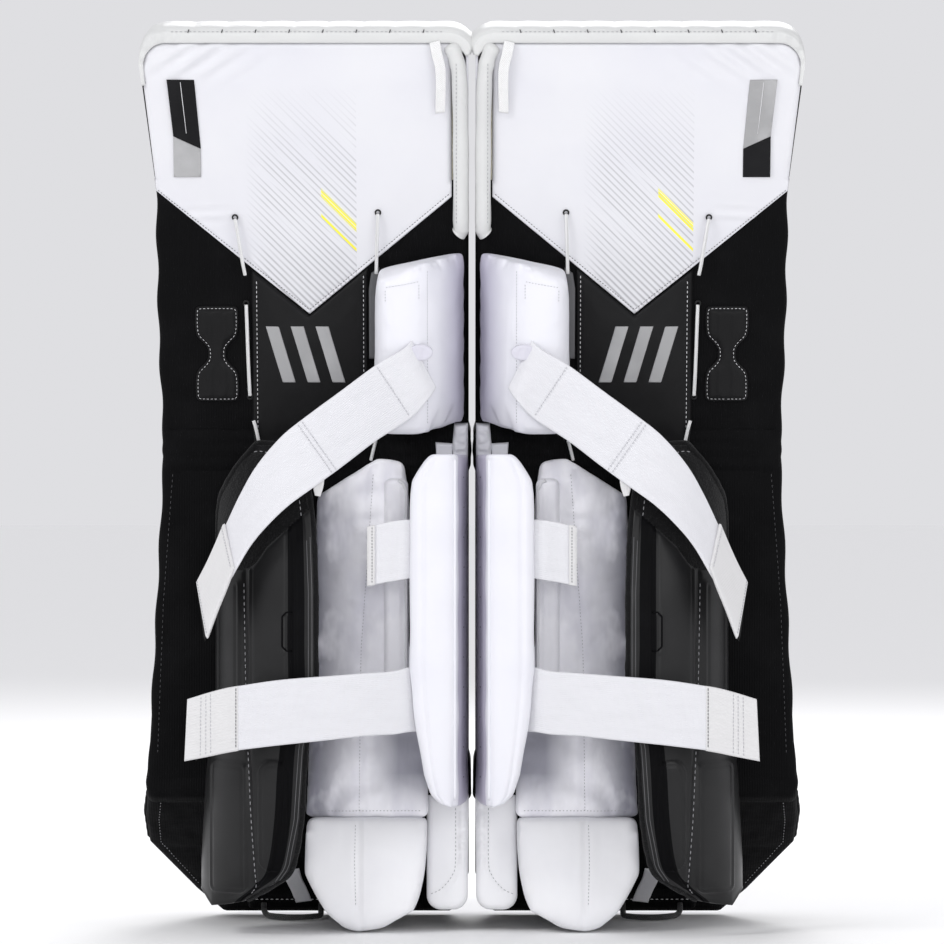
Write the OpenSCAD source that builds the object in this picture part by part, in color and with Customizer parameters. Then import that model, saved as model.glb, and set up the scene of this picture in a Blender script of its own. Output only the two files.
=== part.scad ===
// Ice-hockey goalie leg pads: a left and a right pad that stand side by side.
// Millimetres. +Z is up, the leg side faces -Y, the face that stops the puck faces +Y.
// The origin is on the floor, midway between the two pads.
// Every module draws the right pad's piece at +X, and the left pad is its mirror image.

/* [Pad] */
// Width of a pad at its widest
pad_w = 280; // [276:1:284]
// Gap between the two pads
pad_gap = 6; // [5:1:8]
// Thickness of the foam core
core_t = 38; // [35:1:40]
// Thickness of the stiffening board in front of the core
board_t = 4; // [3:1:5]
// Thickness of the padded leather face
face_t = 4; // [3:1:5]
// Thickness of the leather that wraps round the sides
side_t = 3; // [2:0.5:3.5]
// Thickness of the nylon on the leg side
back_t = 2; // [1.5:0.5:2]

/* [Stance] */
// Height of the knee break
knee_z = 408; // [406:1:412]
// Height of the boot break
ankle_z = 118; // [114:1:120]
// Length of the thigh section above the knee break
thigh_len = 352; // [345:1:358]
// Backward lean of the thigh section
thigh_lean = 12; // [11:0.5:13]
// Forward lean of the boot section
boot_lean = 52; // [51:0.5:53]

/* [Leg channel] */
// How far the wings stand out behind the shin
wing_reach = 100; // [97:1:101]
// Distance of the outer wing's hinge seam from the middle of the pair
outer_hinge_x = 227; // [225:1:228]
// Thickness of the outer wing's moulded shell
shell_t = 6; // [5:0.5:6]
// Thickness of the outer wing's padded lining
lining_t = 8; // [6:0.5:8]
// Height of the knee block above the nylon
block_h = 73; // [70:1:73]

/* [Straps] */
// Thickness of the elastic straps
strap_t = 3; // [2.5:0.5:3]
// Thickness of the straps' hook-and-loop end tabs
tab_t = 4; // [3:0.5:4]
// Diameter of the toe cord
cord_d = 5; // [4:0.5:5]

/* [Hidden] */
SIDES = ["left", "right"];
PARTS = [
    "thigh_core", "thigh_board", "thigh_face_cover", "thigh_back_cover", "knee_back_cover",
    "top_roll", "centre_panel", "tuning_laces", "size_label", "knee_patch",
    "shin_core", "shin_board", "shin_face_cover", "shin_back_cover", "calf_liner", "ankle_cover",
    "knee_block_foam", "knee_block_cover", "knee_strap", "knee_strap_tab",
    "inner_wing", "tab_strap", "calf_strap", "calf_strap_tab",
    "outer_wing_shell", "outer_wing_lining",
    "boot_core", "boot_cover", "toe_bridge", "toe_cord"
];
NODES = [for (side = SIDES) for (part = PARTS) str(side, "_", part)];
node = "all";
$fn = 32;

// Moves the whole model along Y so that its box is centred on the origin
y_shift = -31.4;
// Inner and outer edges of the right pad
x_in = pad_gap / 2;
x_out = x_in + pad_w;
// Layers of a section, from its back plane at y = 0 to its face
board_y = core_t + board_t;
face_y = board_y + face_t;
// The boot reaches the floor with the lower corner of its back
boot_len = (ankle_z - back_t * sin(boot_lean)) / cos(boot_lean);
// Thickness left between sections at a break, and the half-mitre of the boot break
break_gap = 0.5;
boot_mitre = boot_lean / 2 + 4.5;
// How far the outer fabrics lie above the nylon
trim_t = 2.5;
// Clearance between a moving piece and the cover that it stands on
seam_gap = 1.4;
// Plane of the wings' hinge seams
hinge_y = -3 - seam_gap;
shin_back_t = 3;

// Points of an arc from angle a to angle b
function arc(centre, r, a, b, steps = 6) =
    [for (k = [0 : steps]) centre + r * [cos(a + (b - a) * k / steps), sin(a + (b - a) * k / steps)]];

function unit(v) = v / norm(v);

// Outlines of the sections as seen from behind, each drawn in by an inset on its sealed edges
function thigh_outline(i, foot = 1) = concat(
    [[x_in + i, foot], [x_out - 22 - i, foot], [x_out - 18 - i, 100], [x_out - 16 - i, 215]],
    arc([x_out - 22, thigh_len - 22], 22 - i, 0, 90),
    arc([x_in + 10, thigh_len - 10], 10 - i, 90, 180)
);

function shin_outline(i, head = knee_z) = [
    [x_in + i, 110], [x_out - 8 - i, 110], [x_out - 16 - i, 280],
    [x_out - 22 - i, head], [x_in + i, head]
];

function boot_outline(i) = [
    [x_in + i, 0], [x_out - 8 - i, 0], [x_out - 4 - i, -40], [x_out - 5 - i, -78],
    [x_out - 42 - i, -152], [x_out - 64 - i, i - boot_len], [x_in + 14 + i, i - boot_len],
    [x_in + i, -130]
];

// The white thigh cover's outline: a straight-sided V with its tip over the knee
function v_outline(grow = 0) = concat(
    [[17 - grow, 218 - grow], [137, 118 - grow], [x_out - 15, 223 - grow]],
    arc([x_out - 24, thigh_len - 24], 22, 0, 90),
    [[17 - grow, thigh_len - 2]]
);

// Extrudes an outline seen from behind, from y0 to y1
module slab(outline, y0, y1) {
    translate([0, y1, 0])
        rotate([90, 0, 0])
            linear_extrude(y1 - y0)
                polygon(outline);
}

// Extrudes a side profile of [y, z] points, from x0 to x1
module loaf(profile, x0, x1) {
    translate([x0, 0, 0])
        rotate([90, 0, 90])
            linear_extrude(x1 - x0)
                polygon(profile);
}

// Extrudes a plan of [x, y] points, from z0 to z1
module column(plan, z0, z1) {
    translate([0, 0, z0])
        linear_extrude(z1 - z0)
            polygon(plan);
}

module rod(from, to, d) {
    along = to - from;
    translate(from)
        rotate([0, acos(along[2] / norm(along)), atan2(along[1], along[0])])
            cylinder(d = d, h = norm(along), $fn = 16);
}

// Joins rings of the same number of points into one closed solid
module loft(rings) {
    n = len(rings[0]);
    last = len(rings) - 1;
    walls = [
        for (i = [0 : last - 1], k = [0 : n - 1])
            let (a = i * n + k, b = i * n + (k + 1) % n)
                each [[a, b, b + n], [a, b + n, a + n]]
    ];
    caps = [
        for (k = [0 : n / 2 - 2])
            let (a = k, b = k + 1, c = n - 2 - k, d = n - 1 - k, t = last * n)
                each [[a, c, b], [a, d, c], [t + a, t + b, t + c], [t + a, t + c, t + d]]
    ];
    polyhedron([for (ring = rings) each ring], concat(walls, caps));
}

// A flat strap of thickness t between pairs of points on its upper and lower edges
module strap(pairs, t) {
    last = len(pairs) - 1;
    rings = [
        for (i = [0 : last])
            let (
                upper = pairs[i][0],
                lower = pairs[i][1],
                ahead = (pairs[min(i + 1, last)][0] + pairs[min(i + 1, last)][1]) / 2,
                behind = (pairs[max(i - 1, 0)][0] + pairs[max(i - 1, 0)][1]) / 2,
                half = unit(cross(ahead - behind, lower - upper)) * t / 2
            )
                [upper + half, lower + half, lower - half, upper - half]
    ];
    loft(rings);
}

// A round cord that follows a route, drawn as a tube with the given number of sides
module cord_tube(route, d, sides = 8) {
    last = len(route) - 1;
    rings = [
        for (i = [0 : last])
            let (
                along = unit(route[min(i + 1, last)] - route[max(i - 1, 0)]),
                across = unit(cross(along, [0, 0, 1])),
                rise = cross(across, along)
            )
                [for (k = [0 : sides - 1])
                    let (a = 360 * k / sides)
                        route[i] + d / 2 * (across * cos(a) + rise * sin(a))]
    ];
    loft(rings);
}

module in_thigh() {
    translate([0, 0, knee_z])
        rotate([thigh_lean, 0, 0])
            children();
}

module in_boot() {
    translate([0, 0, ankle_z])
        rotate([boot_lean, 0, 0])
            children();
}

// Keeps what is above the boot break's mitre
module above_boot_break() {
    z0 = ankle_z + break_gap;
    intersection() {
        children();
        loaf([[-20, z0], [0, z0], [60, z0 + 60 * tan(boot_mitre)], [60, knee_z + 2], [-20, knee_z + 2]],
            0, 300);
    }
}

// Keeps what is below the boot break's mitre, in the boot's own frame
module below_boot_break() {
    intersection() {
        children();
        loaf([[-20, -break_gap], [0, -break_gap], [60, -break_gap - 60 * tan(boot_mitre)],
            [60, -boot_len - 2], [-20, -boot_len - 2]], 0, 300);
    }
}

// ---- thigh section ----

module thigh_core() {
    color("khaki")
        in_thigh()
            slab(thigh_outline(side_t), 0, core_t);
}

module thigh_board() {
    color("dimgray")
        in_thigh()
            slab(thigh_outline(side_t), core_t, board_y);
}

// The leather face wraps round the sides and rolls over the inner edge above the knee block
module thigh_face_cover() {
    color("whitesmoke")
        in_thigh() {
            difference() {
                slab(thigh_outline(0), 0, face_y);
                slab(thigh_outline(side_t, -5), -1, board_y);
            }
            slab([[x_in, 188], [16, 188], [16, thigh_len - 10], [x_in, thigh_len - 10]],
                -back_t - trim_t, -back_t);
        }
}

module thigh_back_cover() {
    color("white")
        in_thigh()
            slab(v_outline(), -back_t - trim_t, -back_t);
}

module knee_back_cover() {
    color("#1b1b1c")
        in_thigh()
            slab(thigh_outline(0), -back_t, 0);
}

// A half-round roll that caps the top edge
module top_roll() {
    roll = concat([[0, thigh_len]], [[face_y, thigh_len]],
        [for (k = [1 : 9]) [face_y / 2 * (1 + cos(18 * k)), thigh_len + 10 * sin(18 * k)]]);
    color("white")
        in_thigh()
            loaf(roll, x_in + 10, x_out - 22);
}

module centre_panel() {
    color("#242425")
        in_thigh()
            difference() {
                slab([[93, 3], [186, 3], [186, 205], [93, 205]], -back_t - 4, -back_t);
                slab(v_outline(0.3), -back_t - 5, -back_t + 1);
            }
}

// White laces that run over the covers between eyelets
module tuning_laces() {
    lace_d = 3;
    on_nylon = -back_t - lace_d / 2;
    on_white = on_nylon - trim_t;
    on_panel = on_nylon - 4;
    color("white")
        in_thigh() {
            rod([199, on_white, 200], [191, on_white, 152], lace_d);
            rod([190.5, on_nylon, 126], [188, on_nylon, 48], lace_d);
            rod([185, on_panel, 27], [181, on_panel, 10], lace_d);
            rod([79, on_white, 204], [80, on_white, 181], lace_d);
        }
}

module size_label() {
    y = -back_t - trim_t;
    color("dimgray")
        in_thigh()
            slab([[227, 235], [250, 235], [255, 317], [232, 317]], y - 1, y);
}

// An hourglass patch beside the knee
module knee_patch() {
    color("#2c2c2d")
        in_thigh()
            slab([
                [198, 41], [231, 41], [233, 66], [222, 78], [222, 90], [233, 101],
                [231, 125], [198, 125], [196, 101], [206, 90], [206, 78], [196, 66]
            ], -back_t - 2, -back_t);
}

// ---- knee block and its strap ----

// Plan of the knee block, drawn in by an inset: the side next to the other pad slopes
function block_plan(i, base = -back_t - trim_t - 0.6) = [
    [x_in + 0.5 + i, base], [87 - i, base], [87 - i, -62 + i / 2],
    [84 - i, -back_t - block_h + 5 + i], [78 - i, -back_t - block_h + i],
    [42 + i, -back_t - block_h + i], [36 + i, -back_t - block_h + 5 + i], [x_in + 0.5 + i, -12]
];

module knee_block_foam() {
    color("khaki")
        in_thigh()
            column(block_plan(2), 31, 176);
}

module knee_block_cover() {
    color("white")
        in_thigh()
            difference() {
                column(block_plan(0), 29, 178);
                column(block_plan(2, 0), 31, 176);
            }
}

KNEE_STRAP = [
    [[55, -97.5, 494], [35, -89, 453]],
    [[80, -95, 478], [51, -86, 434]],
    [[108, -103, 456], [78, -96, 415]],
    [[134, -107, 436], [103, -104, 396]],
    [[179, -103, 407], [144, -113, 374]],
    [[205, -82, 354], [176, -111, 336]],
    [[213, -76, 344], [191, -108, 318]]
];

KNEE_TAB = [
    [[213, -76, 344], [191, -108, 318]],
    [[227, -70, 318], [212, -101, 284]],
    [[231, -67, 296], [221, -96, 249]]
];

module knee_strap() {
    color("white")
        strap(KNEE_STRAP, strap_t);
}

module knee_strap_tab() {
    color("gainsboro")
        strap(KNEE_TAB, tab_t);
}

// ---- shin section ----

module shin_core() {
    color("khaki")
        above_boot_break()
            slab(shin_outline(side_t), 0, core_t);
}

module shin_board() {
    color("dimgray")
        above_boot_break()
            slab(shin_outline(side_t), core_t, board_y);
}

module shin_face_cover() {
    color("whitesmoke")
        above_boot_break()
            difference() {
                slab(shin_outline(0), 0, face_y);
                slab(shin_outline(side_t, knee_z + 5), -1, board_y);
            }
}

module shin_back_cover() {
    color("#1b1b1c")
        above_boot_break()
            slab(shin_outline(0), -shin_back_t, 0);
}

// The padded liner behind the calf, with an upright strip along its inner side
module calf_liner() {
    front = -shin_back_t;
    back = -26;
    color("lavender") {
        intersection() {
            slab([[38, 98], [140, 98], [134, 200], [128, 368], [81, 397], [56, 395], [52, 366], [52, 240],
                [40, 215]],
                back, front);
            loaf([[front, 98], [back, 98], [back, 376], [-18, 398], [front, 398]], 30, 150);
        }
        slab([[54, 205], [74, 205], [74, 380], [70, 384], [58, 384], [54, 380]], back - 9, back);
    }
}

// The leather-covered ankle pad that hangs from the liner and stands on the floor
module ankle_cover() {
    color("white")
        intersection() {
            slab([[35, 98], [38, 48], [47, 15], [74, 0], [108, 0], [124, 13], [144, 50], [142, 98]],
                -40, 20);
            loaf([[-28, 98], [-35, 70], [-35, 12], [-27, 0], [2, 0], [8, 14], [6, 60], [-3, 98]],
                30, 150);
        }
}

// ---- wings and the straps between them ----

// The inner wing stands up from the pad's inner edge and curls over towards the calf
module inner_wing() {
    top = knee_z - 4;
    edge = -wing_reach;
    section = concat(
        [[4, hinge_y], [11, edge + 16]],
        arc([26, edge + 4], 14, 190, 260),
        [[42, edge - 9], [50, edge - 3], [50, edge + 3], [42, edge + 4], [31, edge + 5]],
        [[25, edge + 13], [18, -40], [16, hinge_y]]
    );
    color("white")
        intersection() {
            column(section, 112, top);
            slab(concat(
                [[x_in, 112], [30, 112]], arc([30, 132], 20, -80, 0),
                [[50, 362], [47, 382], [36, top - 5], [24, top], [x_in, top]]
            ), -120, 0);
        }
}

// A short webbing tab on the inner wing's free edge
module tab_strap() {
    color("white")
        strap([[[52, -99, 349], [52, -99, 292]], [[70, -96, 349], [70, -96, 292]],
            [[90, -93, 348], [90, -93, 291]]], strap_t);
}

CALF_STRAP = [
    [[54, -99, 224], [54, -99, 174]],
    [[66, -103, 222], [66, -103, 172]],
    [[90, -109.5, 220], [90, -109.5, 169]],
    [[117, -112.3, 217], [117, -112.3, 166]],
    [[160, -112.5, 212], [160, -112.5, 161]],
    [[197, -111.5, 207], [197, -111.5, 156]]
];

CALF_TAB = [
    [[197, -111.5, 207], [197, -111.5, 156]],
    [[218, -110, 205], [218, -110, 153]],
    [[236, -107, 203], [239, -107, 150]]
];

module calf_strap() {
    color("white")
        strap(CALF_STRAP, strap_t);
}

module calf_strap_tab() {
    color("gainsboro")
        strap(CALF_TAB, tab_t);
}

// Rings of the outer wing from its foot to its top:
// height, free edge's x, free edge's distance behind the reach, angle where the ring starts
OUTER_WING = [
    [20, 190, 50, 0], [34, 168, 30, 0], [60, 150, 15, 0], [100, 142, 5, 0], [160, 138, 1, 0],
    [200, 130, 0, 0], [290, 130, 0, 0], [340, 132, 8, 4], [380, 138, 20, 28], [403, 150, 36, 52],
    [413, 168, 50, 75]
];

// One layer of the outer wing: quarter ellipses between two insets from its outer surface, drawn
// in 8 steps from the hinge seam to the free edge, of which the layer has those from first to final
function wing_rings(t0, t1, first, final) = [
    for (ring = OUTER_WING)
        let (
            rx = outer_hinge_x + shell_t / 2 - ring[1],
            ry = wing_reach - ring[2] + hinge_y,
            turn = (90 - ring[3]) / 8
        )
            concat(
                [for (k = [first : final]) let (a = ring[3] + turn * k)
                    [ring[1] + (rx - t0) * cos(a), hinge_y - (ry - t0) * sin(a), ring[0]]],
                [for (k = [final : -1 : first]) let (a = ring[3] + turn * k)
                    [ring[1] + (rx - t1) * cos(a), hinge_y - (ry - t1) * sin(a), ring[0]]]
            )
];

module outer_wing_shell() {
    color("#202021")
        loft(wing_rings(0, shell_t, 0, 8));
}

module outer_wing_lining() {
    color("lavender")
        loft(wing_rings(shell_t + 0.3, shell_t + lining_t, 1, 8));
}

// ---- boot section ----

module boot_core() {
    color("khaki")
        in_boot()
            below_boot_break()
                slab(boot_outline(side_t), 0, board_y);
}

module boot_cover() {
    color("whitesmoke")
        in_boot()
            below_boot_break()
                difference() {
                    slab(boot_outline(0), -back_t, face_y);
                    slab(boot_outline(side_t), 0, board_y);
                }
}

// A padded bridge across the toe that holds the toe cord
module toe_bridge() {
    color("#202021")
        in_boot()
            loaf([[-back_t, -172], [-back_t, -146], [-9, -146], [-11, -150], [-11, -168], [-9, -172]],
                116, 198);
}

TOE_CORD = [
    [182, 120, 12], [182, 117, 8], [181, 112, 5], [178, 105, 3], [174, 97, 3], [168, 90, 3],
    [160, 85, 3], [151, 84, 3], [143, 87, 3], [137, 93, 3], [133, 101, 3], [132, 108, 4],
    [132, 113, 6], [132, 117, 8], [132, 120, 12]
];

module toe_cord() {
    color("#161616")
        cord_tube(TOE_CORD, cord_d);
}

// ---- assembly ----

// Places a piece of the right pad, or its mirror image on the left
module on_side(side) {
    translate([0, y_shift, 0]) {
        if (side == "left") mirror([1, 0, 0]) children();
        else children();
    }
}

function wanted(side, part) = node == "all" || node == str(side, "_", part);

for (side = SIDES) {
    if (wanted(side, "thigh_core")) on_side(side) thigh_core();
    if (wanted(side, "thigh_board")) on_side(side) thigh_board();
    if (wanted(side, "thigh_face_cover")) on_side(side) thigh_face_cover();
    if (wanted(side, "thigh_back_cover")) on_side(side) thigh_back_cover();
    if (wanted(side, "knee_back_cover")) on_side(side) knee_back_cover();
    if (wanted(side, "top_roll")) on_side(side) top_roll();
    if (wanted(side, "centre_panel")) on_side(side) centre_panel();
    if (wanted(side, "tuning_laces")) on_side(side) tuning_laces();
    if (wanted(side, "size_label")) on_side(side) size_label();
    if (wanted(side, "knee_patch")) on_side(side) knee_patch();
    if (wanted(side, "shin_core")) on_side(side) shin_core();
    if (wanted(side, "shin_board")) on_side(side) shin_board();
    if (wanted(side, "shin_face_cover")) on_side(side) shin_face_cover();
    if (wanted(side, "shin_back_cover")) on_side(side) shin_back_cover();
    if (wanted(side, "calf_liner")) on_side(side) calf_liner();
    if (wanted(side, "ankle_cover")) on_side(side) ankle_cover();
    if (wanted(side, "knee_block_foam")) on_side(side) knee_block_foam();
    if (wanted(side, "knee_block_cover")) on_side(side) knee_block_cover();
    if (wanted(side, "knee_strap")) on_side(side) knee_strap();
    if (wanted(side, "knee_strap_tab")) on_side(side) knee_strap_tab();
    if (wanted(side, "inner_wing")) on_side(side) inner_wing();
    if (wanted(side, "tab_strap")) on_side(side) tab_strap();
    if (wanted(side, "calf_strap")) on_side(side) calf_strap();
    if (wanted(side, "calf_strap_tab")) on_side(side) calf_strap_tab();
    if (wanted(side, "outer_wing_shell")) on_side(side) outer_wing_shell();
    if (wanted(side, "outer_wing_lining")) on_side(side) outer_wing_lining();
    if (wanted(side, "boot_core")) on_side(side) boot_core();
    if (wanted(side, "boot_cover")) on_side(side) boot_cover();
    if (wanted(side, "toe_bridge")) on_side(side) toe_bridge();
    if (wanted(side, "toe_cord")) on_side(side) toe_cord();
}
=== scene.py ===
import math

import bpy
import numpy as np
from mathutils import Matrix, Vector
from mathutils.bvhtree import BVHTree
from mathutils.geometry import delaunay_2d_cdt


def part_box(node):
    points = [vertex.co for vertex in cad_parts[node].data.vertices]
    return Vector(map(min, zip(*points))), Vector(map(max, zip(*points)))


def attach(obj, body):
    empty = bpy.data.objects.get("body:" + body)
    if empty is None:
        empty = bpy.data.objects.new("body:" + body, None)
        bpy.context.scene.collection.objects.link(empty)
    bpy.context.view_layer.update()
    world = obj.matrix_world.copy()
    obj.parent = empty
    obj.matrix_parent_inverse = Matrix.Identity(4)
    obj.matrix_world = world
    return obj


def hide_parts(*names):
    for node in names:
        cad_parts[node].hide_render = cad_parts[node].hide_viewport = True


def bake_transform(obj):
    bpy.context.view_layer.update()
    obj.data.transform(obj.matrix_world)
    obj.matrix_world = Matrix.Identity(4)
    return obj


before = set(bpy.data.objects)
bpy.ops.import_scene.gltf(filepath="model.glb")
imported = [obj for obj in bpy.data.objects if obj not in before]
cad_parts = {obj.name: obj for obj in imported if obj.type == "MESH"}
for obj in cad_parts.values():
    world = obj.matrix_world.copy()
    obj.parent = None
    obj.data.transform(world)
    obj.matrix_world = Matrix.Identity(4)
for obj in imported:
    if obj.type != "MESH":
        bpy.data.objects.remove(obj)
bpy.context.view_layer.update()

MM = 0.001
SIDES = ("left", "right")


def corner(node, which):
    """The lowest (0) or highest (1) corner of a CAD node, in millimetres."""
    return np.array(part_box(node)[which]) / MM


# ---- the frame's own dimensions, in millimetres; the right pad is at +X ----
BACK_Y = corner("right_shin_core", 0)[1]  # the plane of the sections' backs
KNEE_Z = corner("right_shin_core", 1)[2]
ANKLE_Z = corner("right_shin_back_cover", 0)[2] - 0.5
X_IN = corner("right_thigh_face_cover", 0)[0]
X_OUT = corner("right_thigh_face_cover", 1)[0]
FACE_Y = corner("right_shin_face_cover", 1)[1] - BACK_Y  # thickness of a section
THIGH_LEAN = math.radians(12)
BOOT_LEAN = math.radians(52)
THIGH_TOP = 352.0
BOOT_END = -(ANKLE_Z - 2 * math.sin(BOOT_LEAN)) / math.cos(BOOT_LEAN)
NYLON_Y = -2.0  # back surface of the thigh's nylon
CORD_D = 5.0
HINGE_Y = -4.4  # plane of the wings' hinge seams


def section(pivot_z, lean):
    """Places (x, y, h) of a section that turns about its back edge at pivot_z, in the row frame."""
    c, s = math.cos(lean), math.sin(lean)

    def place(x, y, h):
        x, y, h = np.broadcast_arrays(np.asarray(x, float), np.asarray(y, float), np.asarray(h, float))
        return np.stack([x, BACK_Y + y * c - h * s, pivot_z + y * s + h * c], axis=-1)

    return place


thigh = section(KNEE_Z, THIGH_LEAN)
shin = section(0, 0)
boot = section(ANKLE_Z, BOOT_LEAN)


# ---- camera and light ----

def add_object(name, data):
    o = bpy.data.objects.new(name, data)
    bpy.context.collection.objects.link(o)
    return o


def make_camera():
    """A long lens 4 m behind the pads, level, at half their height."""
    distance, width = 4.0, 0.8024
    data = bpy.data.cameras.new("camera")
    data.sensor_width = 36
    data.lens = data.sensor_width * distance / width
    camera = add_object("camera", data)
    camera.location = (0, BACK_Y * MM - distance, 0.3894)
    camera.rotation_euler = (math.pi / 2, 0, 0)
    bpy.context.scene.camera = camera


def make_light(name, place, size, power, colour=(1, 1, 1)):
    data = bpy.data.lights.new(name, "AREA")
    data.shape = "DISK"
    data.size = size
    data.energy = power
    data.color = colour
    light = add_object(name, data)
    light.location = place
    aim = Vector((0, 0, 0.4)) - light.location
    light.rotation_euler = aim.to_track_quat("-Z", "Y").to_euler()


def make_studio():
    bpy.context.scene.view_settings.view_transform = "Standard"
    world = bpy.data.worlds.new("studio")
    bpy.context.scene.world = world
    world.use_nodes = True
    sky = world.node_tree.nodes["Background"].inputs
    sky["Color"].default_value = (0.97, 0.97, 1.0, 1)
    sky["Strength"].default_value = 0.76
    make_light("key", (-2.4, -2.2, 2.6), 1.0, 38)
    make_light("fill", (2.6, -2.6, 1.4), 1.4, 16)
    make_light("front", (0.3, -4.2, 0.9), 1.2, 30)
    make_light("rim", (0.4, 2.8, 2.6), 2.0, 45)
    mesh = bpy.data.meshes.new("floor")
    radius, sides, below = 30, 64, -0.0005
    ring = [(radius * math.cos(a), radius * math.sin(a), below) for a in np.linspace(0, 2 * math.pi, sides + 1)[:-1]]
    mesh.from_pydata(ring, [], [list(range(sides))])
    floor = add_object("floor", mesh)
    pale = bpy.data.materials.new("floor")
    pale.use_nodes = True
    shader = pale.node_tree.nodes["Principled BSDF"]
    shader.inputs["Base Color"].default_value = (0.985, 0.985, 0.985, 1)
    shader.inputs["Roughness"].default_value = 0.9
    mesh.materials.append(pale)


# ---- materials ----

class Finish:
    """A material built from procedural nodes. Its UV map is in metres."""

    def __init__(self, name, colour, roughness, **sockets):
        self.material = bpy.data.materials.new(name)
        self.material.use_nodes = True
        self.tree = self.material.node_tree
        self.shader = self.tree.nodes["Principled BSDF"]
        self.colour = (*colour, 1)
        self.shader.inputs["Base Color"].default_value = self.colour
        self.shader.inputs["Roughness"].default_value = roughness
        for socket, value in sockets.items():
            self.shader.inputs[socket.replace("_", " ")].default_value = value
        self.normal = None

    def node(self, kind, **values):
        node = self.tree.nodes.new(kind)
        for key, value in values.items():
            if hasattr(node, key):
                setattr(node, key, value)
            else:
                node.inputs[key.replace("_", " ")].default_value = value
        return node

    def link(self, out, socket):
        self.tree.links.new(out, socket)

    def place(self, scale=(1, 1, 1), turn=0.0, kind="UV"):
        """Coordinates on the surface, stretched by scale and turned in its plane."""
        where = self.node("ShaderNodeTexCoord")
        mapping = self.node("ShaderNodeMapping", Scale=scale, Rotation=(0, 0, turn))
        self.link(where.outputs[kind], mapping.inputs["Vector"])
        return mapping.outputs["Vector"]

    def noise(self, scale, detail=3.0, stretch=(1, 1, 1), kind="UV", turn=0.0):
        node = self.node("ShaderNodeTexNoise", Scale=scale, Detail=detail)
        self.link(self.place(stretch, turn, kind), node.inputs["Vector"])
        return node.outputs["Fac"]

    def grain(self, size, kind="UV"):
        """Leather grain: cells of a size in metres."""
        node = self.node("ShaderNodeTexVoronoi", Scale=1 / size, feature="DISTANCE_TO_EDGE")
        self.link(self.place(kind=kind), node.inputs["Vector"])
        return node.outputs["Distance"]

    def ribs(self, pitch, turn=0.0, distortion=0.0, profile="SIN"):
        """Parallel ribs across the surface's first axis, a pitch apart in metres."""
        node = self.node("ShaderNodeTexWave", Scale=math.pi / 10 / pitch, Distortion=distortion,
                         wave_profile=profile)
        self.link(self.place(turn=turn), node.inputs["Vector"])
        return node.outputs["Fac"]

    def math(self, operation, a, b=None, c=None):
        node = self.node("ShaderNodeMath", operation=operation)
        for socket, value in zip(node.inputs, (a, b, c)):
            if value is None:
                continue
            if isinstance(value, (int, float)):
                socket.default_value = value
            else:
                self.link(value, socket)
        return node.outputs[0]

    def times(self, a, b):
        return self.math("MULTIPLY", a, b)

    def axes(self, turn=0.0):
        """The two coordinates on the surface, each as a number."""
        split = self.node("ShaderNodeSeparateXYZ")
        self.link(self.place(turn=turn), split.inputs["Vector"])
        return split.outputs["X"], split.outputs["Y"]

    def bump(self, height, strength, distance=0.001):
        node = self.node("ShaderNodeBump", Strength=strength, Distance=distance)
        self.link(height, node.inputs["Height"])
        if self.normal is not None:
            self.link(self.normal, node.inputs["Normal"])
        self.normal = node.outputs["Normal"]
        self.link(self.normal, self.shader.inputs["Normal"])

    def ramp(self, factor, low, high):
        node = self.node("ShaderNodeMapRange")
        self.link(factor, node.inputs["Value"])
        node.inputs["From Min"].default_value = low
        node.inputs["From Max"].default_value = high
        return node.outputs["Result"]

    def tint(self, factor, colour):
        """Mixes a colour over what the surface has, where factor is 1."""
        mix = self.node("ShaderNodeMix", data_type="RGBA")
        self.link(factor, mix.inputs["Factor"])
        linked = self.shader.inputs["Base Color"].links
        if linked:
            self.link(linked[0].from_socket, mix.inputs["A"])
        else:
            mix.inputs["A"].default_value = self.colour
        mix.inputs["B"].default_value = (*colour, 1)
        self.link(mix.outputs["Result"], self.shader.inputs["Base Color"])

    def patches(self, colour, amount, low, high, *noise):
        """Soft patches of a second colour, where the noise is over low, up to the amount."""
        self.tint(self.times(self.ramp(self.noise(*noise), low, high), amount), colour)

    def gloss(self, factor, low, high):
        """Roughness that varies over the surface from low to high."""
        node = self.node("ShaderNodeMapRange")
        self.link(factor, node.inputs["Value"])
        node.inputs["To Min"].default_value = low
        node.inputs["To Max"].default_value = high
        self.link(node.outputs["Result"], self.shader.inputs["Roughness"])


def leather_surface(finish, low, high, cell, depth):
    """The roughness of leather, from low to high, its slight waves and its grain."""
    finish.gloss(finish.noise(60, 3), low, high)
    finish.bump(finish.noise(45, 2), 0.25, 0.002)
    finish.bump(finish.grain(cell), depth, 0.0003)
    return finish.material


def leather(name, colour, roughness, cell=0.0012, depth=0.3, worn=(0.5, 0.5, 0.5), coat=0.0, shine=0.5):
    finish = Finish(name, colour, roughness, Coat_Weight=coat, Coat_Roughness=0.35, Specular_IOR_Level=shine)
    finish.patches(worn, 0.35, 0.45, 0.75, 14, 4)
    return leather_surface(finish, roughness - 0.08, roughness + 0.1, cell, depth)


def smooth_leather(name, colour, worn, coat=0.0):
    return leather(name, colour, 0.5, cell=0.0009, depth=0.16, worn=worn, coat=coat)


def nylon(name, colour, pitch=0.0021):
    finish = Finish(name, colour, 0.62, Specular_IOR_Level=0.04)
    finish.patches([min(1, c * 1.7 + 0.002) for c in colour], 0.5, 0.5, 0.8, 22, 4)
    finish.bump(finish.noise(30, 3, (1, 2.5, 1)), 0.35, 0.004)
    finish.bump(finish.ribs(pitch), 0.35, 0.0006)
    finish.bump(finish.ribs(0.0008, turn=math.pi / 2), 0.15, 0.0003)
    return finish.material


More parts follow.
